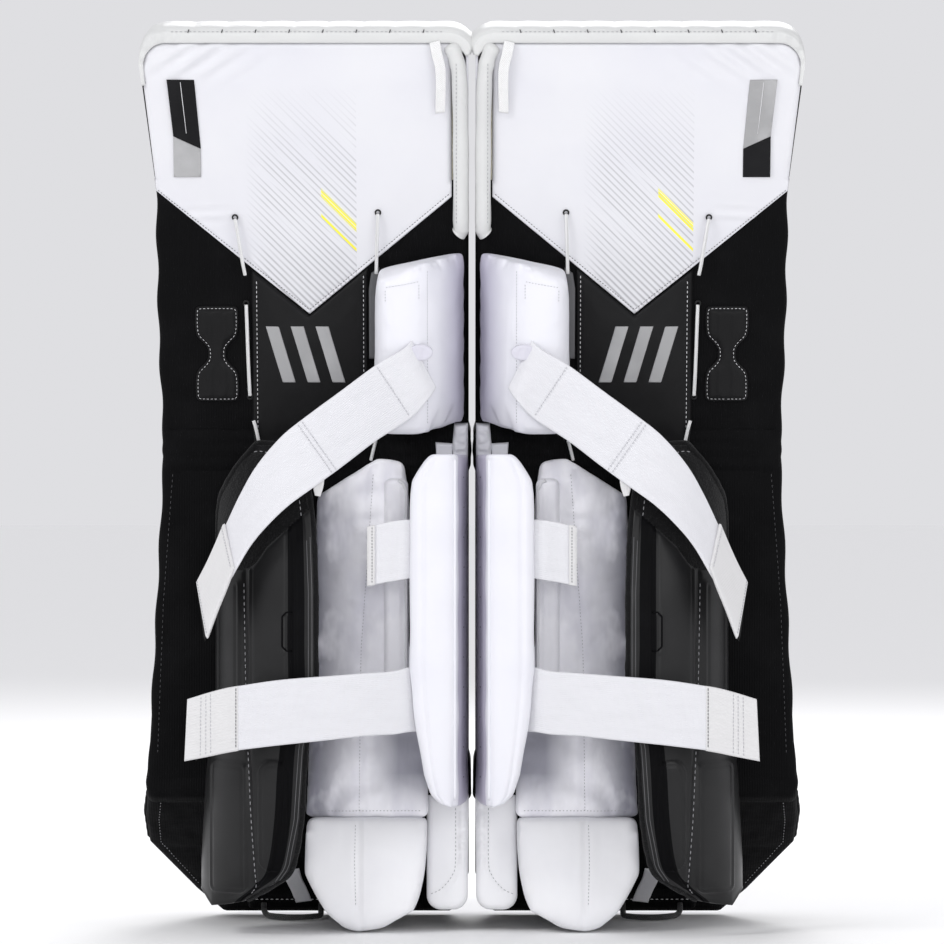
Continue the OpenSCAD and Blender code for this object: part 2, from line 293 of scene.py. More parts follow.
def webbing(name, colour, pitch=0.0016, roughness=0.75):
    """Woven elastic: ribs along the strap, crossed by a fine weave."""
    finish = Finish(name, colour, roughness, Sheen_Weight=0.25, Sheen_Roughness=0.4)
    finish.patches([c * 0.86 for c in colour], 0.3, 0.45, 0.8, 35, 4, (1, 4, 1))
    finish.bump(finish.ribs(pitch, turn=math.pi / 2), 0.3, 0.0005)
    finish.bump(finish.ribs(0.0011), 0.22, 0.0004)
    finish.bump(finish.noise(40, 2), 0.2, 0.002)
    return finish.material


def loops(name, colour):
    """Fuzzy loop fabric for hook-and-loop fastening."""
    finish = Finish(name, colour, 1.0, Sheen_Weight=0.08, Sheen_Roughness=0.6, Specular_IOR_Level=0.1)
    finish.tint(finish.ramp(finish.noise(420, 2), 0.55, 0.8), [c * 2.5 + 0.004 for c in colour])
    finish.bump(finish.noise(700, 3), 0.9, 0.0012)
    finish.bump(finish.noise(90, 2), 0.3, 0.002)
    return finish.material


def moulded(name, colour, roughness=0.36, shine=0.24):
    finish = Finish(name, colour, roughness, Specular_IOR_Level=shine)
    finish.gloss(finish.noise(50, 4), roughness - 0.08, roughness + 0.14)
    finish.patches([min(1, c * 1.8 + 0.003) for c in colour], 0.4, 0.5, 0.8, 18, 5)
    finish.bump(finish.noise(1400, 2), 0.12, 0.0003)
    return finish.material


def soft_fabric(name, colour, shade, shaded=False):
    """Brushed lining fabric over soft padding, with soft blotches of painted shade for the shade in its creases.
    Shaded, it also has painted shade beside the outer wing and low down.
    """
    finish = Finish(name, colour, 0.85, Sheen_Weight=0.35, Sheen_Roughness=0.5)
    # painted shade: darker blotches of the shade colour, standing for shade in the fabric's creases
    finish.patches(shade, 0.42, 0.48, 0.74, 18, 3, (2.0, 0.9, 1))
    if shaded:
        x, h = finish.axes()
        # painted shade: darker beside the outer wing's shell, where the channel is shaded
        painted_shade_beside_shell = finish.times(finish.ramp(x, 0.094, 0.131),
                                    finish.ramp(finish.noise(24, 3, (1.6, 0.8, 1)), 0.24, 0.50))
        finish.tint(finish.times(painted_shade_beside_shell, 0.9), (0.20, 0.20, 0.245))
        # painted shade: a darker area low down towards the inner side
        low = finish.times(finish.ramp(h, 0.215, 0.165), finish.ramp(h, 0.102, 0.135))
        low = finish.times(low, finish.ramp(x, 0.088, 0.062))
        finish.tint(finish.times(low, 0.85), (0.22, 0.22, 0.27))
    finish.bump(finish.noise(24, 3, (2, 1, 1)), 0.6, 0.006)
    finish.bump(finish.ribs(0.0012, turn=0.8), 0.14, 0.0003)
    finish.bump(finish.ribs(0.0012, turn=-0.8), 0.14, 0.0003)
    return finish.material


def braid(name, colour):
    """Braided cord or lace: two crossing sets of strands along the length."""
    finish = Finish(name, colour, 0.8, Sheen_Weight=0.2, Sheen_Roughness=0.5)
    finish.bump(finish.ribs(0.0013, turn=0.7), 0.5, 0.0005)
    finish.bump(finish.ribs(0.0013, turn=-0.7), 0.5, 0.0005)
    finish.tint(finish.times(finish.noise(200, 2), 0.4), [c * 0.75 for c in colour])
    return finish.material


def foam(name, colour):
    finish = Finish(name, colour, 0.95)
    finish.tint(finish.ramp(finish.noise(300, 3, kind="Object"), 0.45, 0.7), [c * 0.8 for c in colour])
    finish.bump(finish.grain(0.0014, kind="Object"), 0.5, 0.0008)
    return finish.material


# ---- numbers on arrays ----

def hashed(ix, iy, seed):
    n = (ix * 374761393 + iy * 668265263 + seed * 974634777) & 0x7FFFFFFF
    n = ((n ^ (n >> 13)) * 1274126177) & 0x7FFFFFFF
    return ((n ^ (n >> 16)) & 0xFFFF) / 65535.0


def ripple(x, y, size, seed=0):
    """Smooth noise from -1 to 1 over the plane, in waves of about that size."""
    x, y = np.asarray(x, float) / size, np.asarray(y, float) / size
    ix, iy = np.floor(x).astype(np.int64), np.floor(y).astype(np.int64)
    fx, fy = x - ix, y - iy
    fx, fy = fx * fx * (3 - 2 * fx), fy * fy * (3 - 2 * fy)
    low = hashed(ix, iy, seed) * (1 - fx) + hashed(ix + 1, iy, seed) * fx
    high = hashed(ix, iy + 1, seed) * (1 - fx) + hashed(ix + 1, iy + 1, seed) * fx
    return (low * (1 - fy) + high * fy) * 2 - 1


def dome(edge, radius):
    """0 at an edge, rising like a quarter circle to 1 at radius from it."""
    return np.sqrt(np.clip(1 - (1 - np.clip(edge / radius, 0, 1)) ** 2, 0, 1))


def step(a, b, x):
    t = np.clip((x - a) / (b - a), 0, 1)
    return t * t * (3 - 2 * t)


def groove(distance, width):
    return np.exp(-(distance / width) ** 2)


def stations(a, b, spacing, lead=(0.4, 1.2, 2.6, 4.5)):
    """Positions from a to b, close together near both ends."""
    span = abs(b - a)
    lead = [v for v in lead if v < span * 0.3]
    inner = np.linspace(lead[-1], span - lead[-1], max(2, int(round(span / spacing))) + 1) if lead else None
    if inner is None:
        return np.linspace(a, b, max(2, int(round(span / spacing))) + 1)
    marks = np.concatenate([[0], lead[:-1], inner, span - np.array(lead[:-1][::-1]), [span]])
    return a + np.sign(b - a) * marks


def run_of(points):
    """Distance along a polyline to each of its points."""
    return np.concatenate([[0], np.cumsum(np.linalg.norm(np.diff(points, axis=0), axis=1))])


def unit(vectors):
    return vectors / np.linalg.norm(vectors, axis=-1, keepdims=True)


def through(points, count):
    """A smooth curve through given points."""
    p = np.array(points, float)
    p = np.vstack([2 * p[0] - p[1], p, 2 * p[-1] - p[-2]])
    out = []
    for t in np.linspace(0, len(points) - 1, count):
        i = min(int(t), len(points) - 2)
        f = t - i
        a, b, c, d = p[i], p[i + 1], p[i + 2], p[i + 3]
        out.append(0.5 * (2 * b + (c - a) * f + (2 * a - 5 * b + 4 * c - d) * f * f
                          + (3 * b - a - 3 * c + d) * f ** 3))
    return np.array(out)


def even(points, spacing):
    """Points the same distance apart along a polyline."""
    p = np.array(points, float)
    run = run_of(p)
    marks = np.linspace(0, run[-1], max(2, int(round(run[-1] / spacing)) + 1))
    return np.stack([np.interp(marks, run, p[:, k]) for k in range(p.shape[1])], axis=1)


# ---- meshes ----

def ring_faces(rings, sides, closed=False):
    """Faces between rings of points that follow each other."""
    faces = []
    for i in range(rings if closed else rings - 1):
        ahead = ((i + 1) % rings) * sides - i * sides
        for k in range(sides):
            a, b = i * sides + k, i * sides + (k + 1) % sides
            faces.append((a, b, b + ahead, a + ahead))
    if not closed:
        faces += [tuple(range(sides))[::-1], tuple(range((rings - 1) * sides, rings * sides))]
    return faces


def with_back(faces, rim, n):
    """The faces, the same ones n points further on and turned round, and the sides along the rim."""
    faces = [tuple(f) for f in faces]
    return faces + [tuple(i + n for i in reversed(f)) for f in faces] + [(b, a, a + n, b + n) for a, b in rim]


def slab(front, back, uv):
    """A closed solid between two grids of points. front faces away from back."""
    rows, columns = front.shape[:2]
    n = rows * columns
    index = np.arange(n).reshape(rows, columns)
    a, b = index[:-1, :-1].ravel(), index[:-1, 1:].ravel()
    c, d = index[1:, 1:].ravel(), index[1:, :-1].ravel()
    faces = [*zip(a, b, c, d), *zip(d + n, c + n, b + n, a + n)]
    rim = [*index[0, :], *index[1:, -1], *index[-1, -2::-1], *index[-2:0:-1, 0]]
    faces += [(p, p + n, q + n, q) for p, q in zip(rim, rim[1:] + rim[:1])]
    points = np.concatenate([front.reshape(-1, 3), back.reshape(-1, 3)])
    return points, faces, np.concatenate([uv.reshape(-1, 2)] * 2)


def normals(grid):
    du, dv = np.gradient(grid, axis=1), np.gradient(grid, axis=0)
    n = np.cross(du, dv)
    return n / np.maximum(np.linalg.norm(n, axis=-1, keepdims=True), 1e-9)


def flap(middle, outwards, inwards, uv):
    """A solid round a middle surface, as thick as the two arrays say on each side."""
    n = normals(middle)
    return slab(middle + n * outwards[..., None], middle - n * inwards[..., None], uv)


def tube(path, radius, sides=10, closed=False):
    """A round tube along a path, with rounded ends."""
    p = np.array(path, float)
    radius = np.broadcast_to(np.asarray(radius, float), (len(p),)).copy()
    ahead = np.roll(p, -1, axis=0) if closed else np.vstack([p[1:], 2 * p[-1] - p[-2]])
    behind = np.roll(p, 1, axis=0) if closed else np.vstack([2 * p[0] - p[1], p[:-1]])
    t = unit(ahead - behind)
    side = np.cross(t[0], (0, 0, 1) if abs(t[0][2]) < 0.9 else (1, 0, 0))
    rings = []
    for k in range(len(p)):
        side = side - t[k] * (side @ t[k])
        side /= np.linalg.norm(side)
        up = np.cross(t[k], side)
        angles = np.linspace(0, 2 * math.pi, sides, endpoint=False)
        rings.append(p[k] + radius[k] * (np.cos(angles)[:, None] * side + np.sin(angles)[:, None] * up))
    points = np.concatenate(rings)
    run = run_of(p)
    around = np.arange(sides) / sides * 2 * math.pi
    uv = np.stack([np.repeat(run, sides), np.tile(around, len(p)) * float(radius.max())], axis=1) * MM
    return points, ring_faces(len(p), sides, closed), uv


def joined(*shapes):
    points, faces, uvs, start = [], [], [], 0
    for p, f, uv in shapes:
        points.append(p)
        uvs.append(uv)
        faces += [tuple(i + start for i in face) for face in f]
        start += len(p)
    return np.concatenate(points), faces, np.concatenate(uvs)


def stitches(path, length=3.0, gap=1.7, radius=0.42):
    """A row of stitches along a path."""
    marks = even(path, 0.5)
    run = run_of(marks)
    shapes = []
    for start in np.arange(gap / 2, run[-1] - length, length + gap):
        along = np.array([0, 0.18, 0.5, 0.82, 1.0]) * length + start
        p = np.stack([np.interp(along, run, marks[:, k]) for k in range(3)], axis=1)
        shapes.append(tube(p, np.array([0.35, 0.9, 1.0, 0.9, 0.35]) * radius, sides=6))
    return joined(*shapes)


def ribbon(pairs, thickness, count=90, spacing=2.4, crown=0.0, ends=1.2):
    """A strap between a smooth upper and a smooth lower edge, with rounded edges."""
    upper = through([p[0] for p in pairs], count)
    lower = through([p[1] for p in pairs], count)
    width = np.linalg.norm(upper - lower, axis=1).mean()
    fraction = stations(0, 1, spacing / width, (0.008, 0.025, 0.05))
    grid = upper[:, None] + (lower - upper)[:, None] * fraction[None, :, None]
    run = run_of(grid[:, len(fraction) // 2])
    u = np.repeat(run[:, None], len(fraction), axis=1)
    v = fraction[None, :] * width + np.zeros_like(u)
    edge = np.minimum(np.minimum(v, width - v), np.minimum(u, run[-1] - u) * 1.5)
    half = thickness / 2 * (0.12 + 0.88 * dome(edge, ends))
    grid = grid + normals(grid) * (crown * dome(edge, width / 2))[..., None]
    return flap(grid, half, half, np.stack([u, v], axis=-1) * MM), grid


def mirrored(shape):
    points, faces, uv = shape
    return points * np.array([-1, 1, 1]), [tuple(reversed(f)) for f in faces], uv


def mesh_object(name, shape, materials, picks=None):
    points, faces, uv = shape
    mesh = bpy.data.meshes.new(name)
    mesh.from_pydata([tuple(p) for p in points * MM], [], [tuple(int(i) for i in f) for f in faces])
    layer = mesh.uv_layers.new(name="surface")
    loops_of = np.empty(len(mesh.loops), dtype=np.int64)
    mesh.loops.foreach_get("vertex_index", loops_of)
    layer.data.foreach_set("uv", uv[loops_of].astype(np.float32).ravel())
    mesh.polygons.foreach_set("use_smooth", np.ones(len(mesh.polygons), dtype=bool))
    for material in materials:
        mesh.materials.append(material)
    if picks is not None:
        mesh.polygons.foreach_set("material_index", np.asarray(picks, dtype=np.int32))
    mesh.update()
    return add_object(name, mesh)


def pair(name, shape, materials, body, slot, nodes=(), blend=None, picks=None):
    """Makes a piece for both pads: the shape on the right and its mirror image on the left."""
    made = []
    for side in SIDES:
        own = shape if side == "right" else mirrored(shape)
        finish = materials[side] if isinstance(materials, dict) else materials
        o = mesh_object(f"{side}_{name}", own, finish if isinstance(finish, list) else [finish], picks)
        if blend:
            first, second, *ends = blend
            start, end = [Vector((x if side == "right" else -x, y, z)) * MM for x, y, z in ends]
            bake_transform(o)
            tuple(start)
            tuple(end)
        else:
            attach(o, f"{side}_{body}")
        if nodes:
            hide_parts(*[f"{side}_{node}" for node in nodes])
        made.append(o)
    return made


# ---- filled outlines, shells and seams ----

def dense(outline, spacing):
    """The outline's points with more between them, its corners kept."""
    p = np.array(outline, float)
    out = []
    for a, b in zip(p, np.roll(p, -1, axis=0)):
        n = max(1, int(math.ceil(np.linalg.norm(b - a) / spacing)))
        out += [a + (b - a) * k / n for k in range(n)]
    return np.array(out)


def arc(centre, r, a, b, steps=8):
    """Points of an arc, angles in degrees."""
    t = np.radians(np.linspace(a, b, steps + 1))
    return [(centre[0] + r * math.cos(v), centre[1] + r * math.sin(v)) for v in t]


def distance(points, path, closed=False):
    """Distance from each point to a path of any dimension."""
    path = np.asarray(path, float)
    a = path if closed else path[:-1]
    b = np.roll(path, -1, axis=0) if closed else path[1:]
    flat = np.asarray(points, float).reshape(-1, path.shape[1])
    best = np.full(len(flat), 1e9)
    for p, q in zip(a, b):
        d = q - p
        t = np.clip(((flat - p) @ d) / max(d @ d, 1e-12), 0, 1)
        best = np.minimum(best, np.linalg.norm(flat - p - t[:, None] * d, axis=1))
    return best.reshape(np.shape(points)[:-1])


def inside(points, outline):
    x, y = points[:, 0], points[:, 1]
    hit = np.zeros(len(points), bool)
    for (x0, y0), (x1, y1) in zip(outline, np.roll(outline, -1, axis=0)):
        crosses = (y0 > y) != (y1 > y)
        if y0 != y1:
            hit ^= crosses & (x < (x1 - x0) * (y - y0) / (y1 - y0) + x0)
    return hit


def filled(outline, spacing, insets):
    """Triangles that fill an outline, with rings of points near its edge."""
    ring = dense(outline, spacing)
    area = np.sum(ring[:, 0] * np.roll(ring[:, 1], -1) - np.roll(ring[:, 0], -1) * ring[:, 1])
    if area < 0:
        ring = ring[::-1]
    along = np.roll(ring, -1, axis=0) - np.roll(ring, 1, axis=0)
    inward = unit(np.stack([-along[:, 1], along[:, 0]], axis=1))
    sets = [ring]
    for d in insets:
        offset = ring + inward * d
        sets.append(offset[(distance(offset, ring, True) > 0.9 * d) & inside(offset, ring)])
    low, high = ring.min(axis=0), ring.max(axis=0)
    rows = []
    for k, v in enumerate(np.arange(low[1], high[1], spacing * 0.87)):
        u = np.arange(low[0] + (k % 2) * spacing / 2, high[0], spacing)
        rows.append(np.stack([u, np.full(len(u), v)], axis=1))
    grid = np.concatenate(rows)
    grid = grid[inside(grid, ring)]
    sets.append(grid[distance(grid, ring, True) > insets[-1] + spacing * 0.4])
    flat = np.concatenate(sets)
    points, _, faces, origin, _, _ = delaunay_2d_cdt([Vector(p) for p in flat], [],
                                                     [list(range(len(ring)))], 1, 1e-5)
    found = {source: k for k, sources in enumerate(origin) for source in sources}
    points = np.array([tuple(p) for p in points])
    return points, faces, [found[k] for k in range(len(ring))]


def outward(points, faces, uv):
    """Turns a closed shape's faces so that they face outwards."""
    volume = 0.0
    for face in faces:
        for k in range(1, len(face) - 1):
            a, b, c = points[face[0]], points[face[k]], points[face[k + 1]]
            volume += a[0] * (b[1] * c[2] - b[2] * c[1]) - a[1] * (b[0] * c[2] - b[2] * c[0]) \
                + a[2] * (b[0] * c[1] - b[1] * c[0])
    return points, faces if volume > 0 else [tuple(reversed(f)) for f in faces], uv


def vertex_normals(points, faces):
    n = np.zeros_like(points)
    for size in {len(f) for f in faces}:
        f = np.array([f for f in faces if len(f) == size])
        face_n = np.cross(points[f[:, 1]] - points[f[:, 0]], points[f[:, 2]] - points[f[:, 0]])
        if size == 4:
            face_n += np.cross(points[f[:, 2]] - points[f[:, 0]], points[f[:, 3]] - points[f[:, 0]])
        for k in range(size):
            np.add.at(n, f[:, k], face_n)
    return n / np.maximum(np.linalg.norm(n, axis=1, keepdims=True), 1e-9)


def thickened(points, faces, uv, thickness):
    """Gives an open surface a thickness behind it, closed round its rim."""
    back = points - vertex_normals(points, faces) * thickness
    n = len(points)
    edges = dict.fromkeys(pair_of for f in faces for pair_of in zip(f, f[1:] + f[:1]))
    rim = [(a, b) for a, b in edges if (b, a) not in edges]
    return np.concatenate([points, back]), with_back(faces, rim, n), np.concatenate([uv, uv])


def relief(place, outline, height, base, back=None, toward=-1, spacing=3.0,
           insets=(0.35, 1.1, 2.2, 3.8), skirt=None, thickness=1.2):
    """A soft panel over an outline of (x, h). Its surface stands height(x, h, edge) proud of base,
    where edge is the distance to the outline. It is solid down to back, or with a skirt it is a
    cover of even thickness whose sides go down to the depth skirt(x, h)."""
    flat, faces, ring = filled(outline, spacing, insets)
    x, h = flat[:, 0], flat[:, 1]
    edge = distance(flat, flat[ring], True)
    points = place(x, base + toward * height(x, h, edge), h)
    uv = flat * MM
    faces = [tuple(f) for f in faces]
    n = len(points)
    if skirt is None:
        rear = place(x, np.full(n, base if back is None else back), h)
        faces = with_back(faces, zip(ring, ring[1:] + ring[:1]), n)
        return outward(np.concatenate([points, rear]), faces, np.concatenate([uv, uv]))
    rx, rh = x[ring], h[ring]
    top = base + toward * height(rx, rh, np.zeros(len(ring)))
    low = skirt(rx, rh)
    rows = [ring]
    for k in range(1, 5):
        start = len(points)
        points = np.concatenate([points, place(rx, top + (low - top) * k / 4, rh)])
        uv = np.concatenate([uv, np.stack([rx + np.abs(low - top) * k / 4, rh], axis=1) * MM])
        rows.append(list(range(start, start + len(ring))))
    for upper, lower in zip(rows, rows[1:]):
        m = len(ring)
        faces += [(upper[(k + 1) % m], upper[k], lower[k], lower[(k + 1) % m]) for k in range(m)]
    if toward > 0:
        faces = [tuple(reversed(f)) for f in faces]
    return outward(*thickened(points, faces, uv, thickness))


def sweep(sections):
    """A closed solid through rings of the same number of points."""
    rings = np.array(sections, float)
    count, n = rings.shape[:2]
    points = rings.reshape(-1, 3)
    middle = rings[count // 2]
    u = run_of(np.concatenate([middle, middle[:1]]))[:-1]
    v = run_of(rings.mean(axis=1))
    uv = np.stack([np.tile(u, count), np.repeat(v, n)], axis=1) * MM
    return outward(points, ring_faces(count, n), uv)


class Surface:
    """Finds where a shape's surface is, to lay seams and stitches on it."""

    def __init__(self, *shapes):
        points, faces, _ = joined(*shapes)
        self.tree = BVHTree.FromPolygons([tuple(p) for p in points], [tuple(int(i) for i in f) for f in faces])

    def under(self, starts, direction, lift=0.0):
        found = []
        for start, way in zip(starts, np.broadcast_to(direction, np.shape(starts))):
            hit, _, _, _ = self.tree.ray_cast(Vector(start), Vector(way))
            if hit is not None:
                found.append(tuple(hit - Vector(way) * lift))
        return np.array(found)

    def seam(self, place, path, lift=0.3, spacing=1.5, start=-170, way=1):
        """A path of (x, h) laid on the surface, seen along the section's own y axis."""
        p = even(path, spacing)
        near = place(p[:, 0], np.full(len(p), float(start)), p[:, 1])
        far = place(p[:, 0], np.full(len(p), float(start) + way), p[:, 1])
        return self.under(near, far - near, lift)


def boxed_uv(points, faces):
    """Coordinates on a surface by the side that each point faces."""
    n = np.abs(vertex_normals(points, faces))
    side = n[:, 0] > np.maximum(n[:, 1], n[:, 2])
    top = n[:, 2] > np.maximum(n[:, 0], n[:, 1])
    u = np.where(side, points[:, 1], points[:, 0])
    v = np.where(top, points[:, 1], points[:, 2])
    return np.stack([u, v], axis=1) * MM


def mesh_arrays(mesh):
    points = np.empty(len(mesh.vertices) * 3, dtype=np.float32)
    mesh.vertices.foreach_get("co", points)
    return points.reshape(-1, 3).astype(float) / MM, [tuple(p.vertices) for p in mesh.polygons]


def evaluated(o):
    graph = bpy.context.evaluated_depsgraph_get()
    return bpy.data.meshes.new_from_object(o.evaluated_get(graph))


def inflated(shape, voxel=5.0, pressure=4.0, cap=6.0, held=None):
    """Blows a closed shape up like a sewn cushion. held(points) marks what stays where it is."""
    o = mesh_object("cushion", shape, [])
    remesh = o.modifiers.new("voxels", "REMESH")
    remesh.mode = "VOXEL"
    remesh.voxel_size = voxel * MM
    o.data = evaluated(o)
    o.modifiers.clear()
    rest, faces = mesh_arrays(o.data)
    moved_to = rest.copy()
    pins = o.vertex_groups.new(name="held")
    if held is not None:
        pins.add([int(i) for i in np.nonzero(held(rest))[0]], 1.0, "REPLACE")
    cloth = o.modifiers.new("cloth", "CLOTH")
    settings, moments = cloth.settings, 20
    settings.vertex_group_mass = "held"
    settings.use_pressure = True
    settings.uniform_pressure_force = pressure
    settings.tension_stiffness = settings.compression_stiffness = 40
    settings.bending_stiffness = 4
    settings.effector_weights.gravity = 0
    cloth.point_cache.frame_end = moments
    for moment in range(1, moments + 1):
        bpy.context.scene.frame_set(moment)
    moved_to, _ = mesh_arrays(evaluated(o))
    bpy.context.scene.frame_set(1)
    o.modifiers.clear()
    move = moved_to - rest
    far = np.linalg.norm(move, axis=1, keepdims=True)
    moved_to = rest + move * np.minimum(1, cap / np.maximum(far, 1e-9))
    o.data.vertices.foreach_set("co", (moved_to * MM).astype(np.float32).ravel())
    smooth = o.modifiers.new("smooth", "SUBSURF")
    smooth.levels = 1
    points, faces = mesh_arrays(evaluated(o))
    bpy.data.objects.remove(o)
    return points, faces, boxed_uv(points, faces)


def softened(node, body, material, width, inset, side):
    """A copy of an inner CAD solid with rounded edges, in place of the solid. It is smaller by inset
    all round, and by side at its left and right."""
    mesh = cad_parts[node].data.copy()
    low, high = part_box(node)
    middle, size = (low + high) / 2, high - low
    for vertex in mesh.vertices:
        for k in range(3):
            less = (side if k == 0 else inset) * MM
            vertex.co[k] = middle[k] + (vertex.co[k] - middle[k]) * (1 - 2 * less / size[k])
    o = add_object(f"{node}_soft", mesh)
    mesh.materials.clear()
    mesh.materials.append(material)
    bevel = o.modifiers.new("edges", "BEVEL")
    bevel.width = width * MM
    bevel.segments = 3
    bevel.limit_method = "ANGLE"
    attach(o, body)
    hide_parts(node)


# ---- the finishes ----

WHITE = (0.75, 0.75, 0.795)
COVER = (0.685, 0.685, 0.715)
STRIPE_GREY = (0.23, 0.23, 0.235)
LEATHER_BLACK = (0.0065, 0.0065, 0.007)
YELLOW = (0.86, 0.80, 0.04)


def printed_cover(name, side):
    """Smooth white leather with fine slanted grey lines and two yellow ones. On the left pad they
    slope down towards the other pad, and on the right one away from it, and they end on one side."""
    finish = Finish(name, COVER, 0.5, Coat_Weight=0.08, Coat_Roughness=0.4)
    finish.gloss(finish.noise(50, 3), 0.42, 0.6)
    finish.patches((0.60, 0.60, 0.665), 0.45, 0.42, 0.75, 9, 3)
    left, pitch = side == "left", 0.0042
    turn = math.pi / 4 if left else -math.pi / 4
    x, h = finish.axes()
    across, along = finish.axes(turn)
    near, far = (0.097, 0.190) if left else (0.186, 0.093)
    lines = finish.ramp(finish.ribs(pitch, turn=turn), 0.70, 0.93)
    streaks = finish.node("ShaderNodeCombineXYZ")
    finish.link(finish.times(across, 240.0), streaks.inputs["X"])
    finish.link(finish.times(along, 9.0), streaks.inputs["Y"])
    breaks = finish.node("ShaderNodeTexNoise", Scale=1.0, Detail=2.0)
    finish.link(streaks.outputs["Vector"], breaks.inputs["Vector"])
    broken = finish.ramp(breaks.outputs["Fac"], 0.34, 0.46)
    ends = finish.times(finish.ramp(x, near - (far - near) * 0.002, near + (far - near) * 0.002),
                        finish.ramp(x, far, far + (near - far) * 0.2))
    height = finish.times(finish.ramp(h, 0.312, 0.240), finish.ramp(h, 0.117, 0.128))
    mask = finish.times(finish.times(lines, broken), finish.times(ends, height))
    finish.tint(finish.times(mask, finish.ramp(h, 0.70, 0.12)), (0.43, 0.43, 0.455))
    tip = finish.times(finish.ramp(h, 0.185, 0.115), finish.ramp(finish.ribs(pitch, turn=turn), 0.15, 0.8))
    finish.tint(finish.times(finish.times(tip, ends), 0.5), (0.36, 0.36, 0.375))
    centre = (0.097 - 0.192) / math.sqrt(2) if left else (0.186 + 0.192) / math.sqrt(2)
    start, end = (0.127, 0.0968) if left else (0.156, 0.1862)
    span = finish.times(finish.ramp(x, start, start + (end - start) * 0.02),
                        finish.ramp(x, end, end - (end - start) * 0.02))
    for offset, half in ((0.0, 0.0026), (0.0135 if left else -0.0135, 0.0008)):
        away = finish.math("ABSOLUTE", finish.math("SUBTRACT", across, centre + offset))
        stripe = finish.times(finish.ramp(away, half + 0.0003, half), span)
        if half > 0.001:
            stripe = finish.times(stripe, finish.ramp(finish.ribs(pitch / 2, turn=turn), 0.08, 0.22))
        finish.tint(stripe, YELLOW)
    finish.bump(finish.noise(16, 3), 0.3, 0.004)
    finish.bump(finish.noise(900, 2), 0.12, 0.0002)
    return finish.material


roll_leather = leather("roll_leather", (0.62, 0.625, 0.62), 0.42, worn=(0.52, 0.52, 0.53), coat=0.1)
smooth_white = smooth_leather("smooth_white", WHITE, (0.64, 0.64, 0.72), 0.05)
# painted light: a brighter copy of the white leather, for the ankle pad that catches more light
ankle_lit_white = smooth_leather("ankle_lit_white", (0.84, 0.84, 0.86), (0.74, 0.74, 0.79))
# painted shade: a lilac-grey copy of the white leather, for walls that face the other pad
shade_painted_leather = smooth_leather("shade_painted_leather", (0.50, 0.48, 0.57), (0.40, 0.38, 0.48))
black_leather = leather("black_leather", LEATHER_BLACK, 0.45, worn=(0.014, 0.014, 0.015), shine=0.13)
black_nylon = nylon("black_nylon", (0.0038, 0.0038, 0.0042))
binding = nylon("binding", (0.009, 0.009, 0.0095), pitch=0.0012)
white_elastic = webbing("white_elastic", (0.69, 0.69, 0.72))
tab_elastic = webbing("tab_elastic", (0.66, 0.655, 0.66), pitch=0.0024)
black_loops = loops("black_loops", (0.0045, 0.0045, 0.005))
black_moulded = moulded("black_moulded", (0.011, 0.011, 0.0115))
# a darker, duller black: the badge outline, and painted shade on a band of the outer wing
dark_moulded = moulded("dark_moulded", (0.0025, 0.0025, 0.003), 0.5, shine=0.05)
liner_fabric, liner_shaded = [soft_fabric(name, (0.92, 0.915, 0.955), (0.50, 0.49, 0.60), shaded)
                              for name, shaded in (("liner_fabric", False), ("liner_shaded", True))]
# painted shade: lilac fabric for the shaded patch at the knee strap's end
lilac_shade_patch = soft_fabric("lilac_shade_patch", (0.62, 0.61, 0.68), (0.50, 0.49, 0.57))
white_lace = braid("white_lace", (0.84, 0.84, 0.84))
black_cord = braid("black_cord", (0.014, 0.014, 0.014))
core_foam = foam("core_foam", (0.78, 0.74, 0.60))
stiffener = moulded("stiffener", (0.10, 0.10, 0.105), 0.6)
print_grey = moulded("print_grey", (0.34, 0.34, 0.345), 0.5)
label_black = nylon("label_black", (0.013, 0.013, 0.014), pitch=0.0007)
label_grey = nylon("label_grey", (0.36, 0.36, 0.365), pitch=0.0007)
white_thread = braid("white_thread", (0.80, 0.80, 0.82))
grey_thread = braid("grey_thread", (0.36, 0.36, 0.38))
light_thread = braid("light_thread", (0.52, 0.52, 0.55))
dark_thread = braid("dark_thread", (0.05, 0.05, 0.055))
cover_print = {side: printed_cover(f"{side}_cover_print", side) for side in SIDES}


def shaded_leather(name):
    """White leather with painted shade: lilac-grey where it slopes towards the other pad, where shade falls between
    the pads.
    """
    finish = Finish(name, WHITE, 0.5, Coat_Weight=0.05, Coat_Roughness=0.35)
    x, _ = finish.axes()
    finish.patches((0.64, 0.64, 0.72), 0.35, 0.45, 0.75, 14, 4)
    # painted shade, darkest at the inner edge beside the other pad
    finish.tint(finish.times(finish.ramp(x, 0.027, 0.009), 0.8), (0.40, 0.38, 0.49))
    return leather_surface(finish, 0.42, 0.6, 0.0009, 0.16)


def banded_leather(name, stripes):
    """White leather with slanted grey stripes and a black border along the outer side."""
    finish = Finish(name, WHITE, 0.42, Coat_Weight=0.05, Coat_Roughness=0.35, Specular_IOR_Level=0.3)
    finish.patches((0.63, 0.63, 0.69), 0.35, 0.45, 0.75, 14, 4)
    x, h = finish.axes()
    for start, rise in stripes:
        level = finish.math("MULTIPLY_ADD", x, -rise, (X_IN * rise - start) * MM)
        away = finish.math("ABSOLUTE", finish.math("ADD", level, h))
        finish.tint(finish.ramp(away, 0.0113, 0.0107), STRIPE_GREY)
    finish.tint(finish.ramp(x, (ACCENT_X - 0.3) * MM, (ACCENT_X + 0.3) * MM), LEATHER_BLACK)
    return leather_surface(finish, 0.36, 0.52, 0.0012, 0.3)


ACCENT_X = 236.0  # where the black outer roll of the face starts
STRIPES = {"thigh": ((70, 0.30), (205, 0.30)), "shin": ((170, 0.30), (300, 0.30)), "boot": ((-118, 0.12),)}
block_leather_painted_shade = shaded_leather("block_leather_painted_shade")
striped_leather = {section: banded_leather(f"{section}_striped", STRIPES[section]) for section in STRIPES}


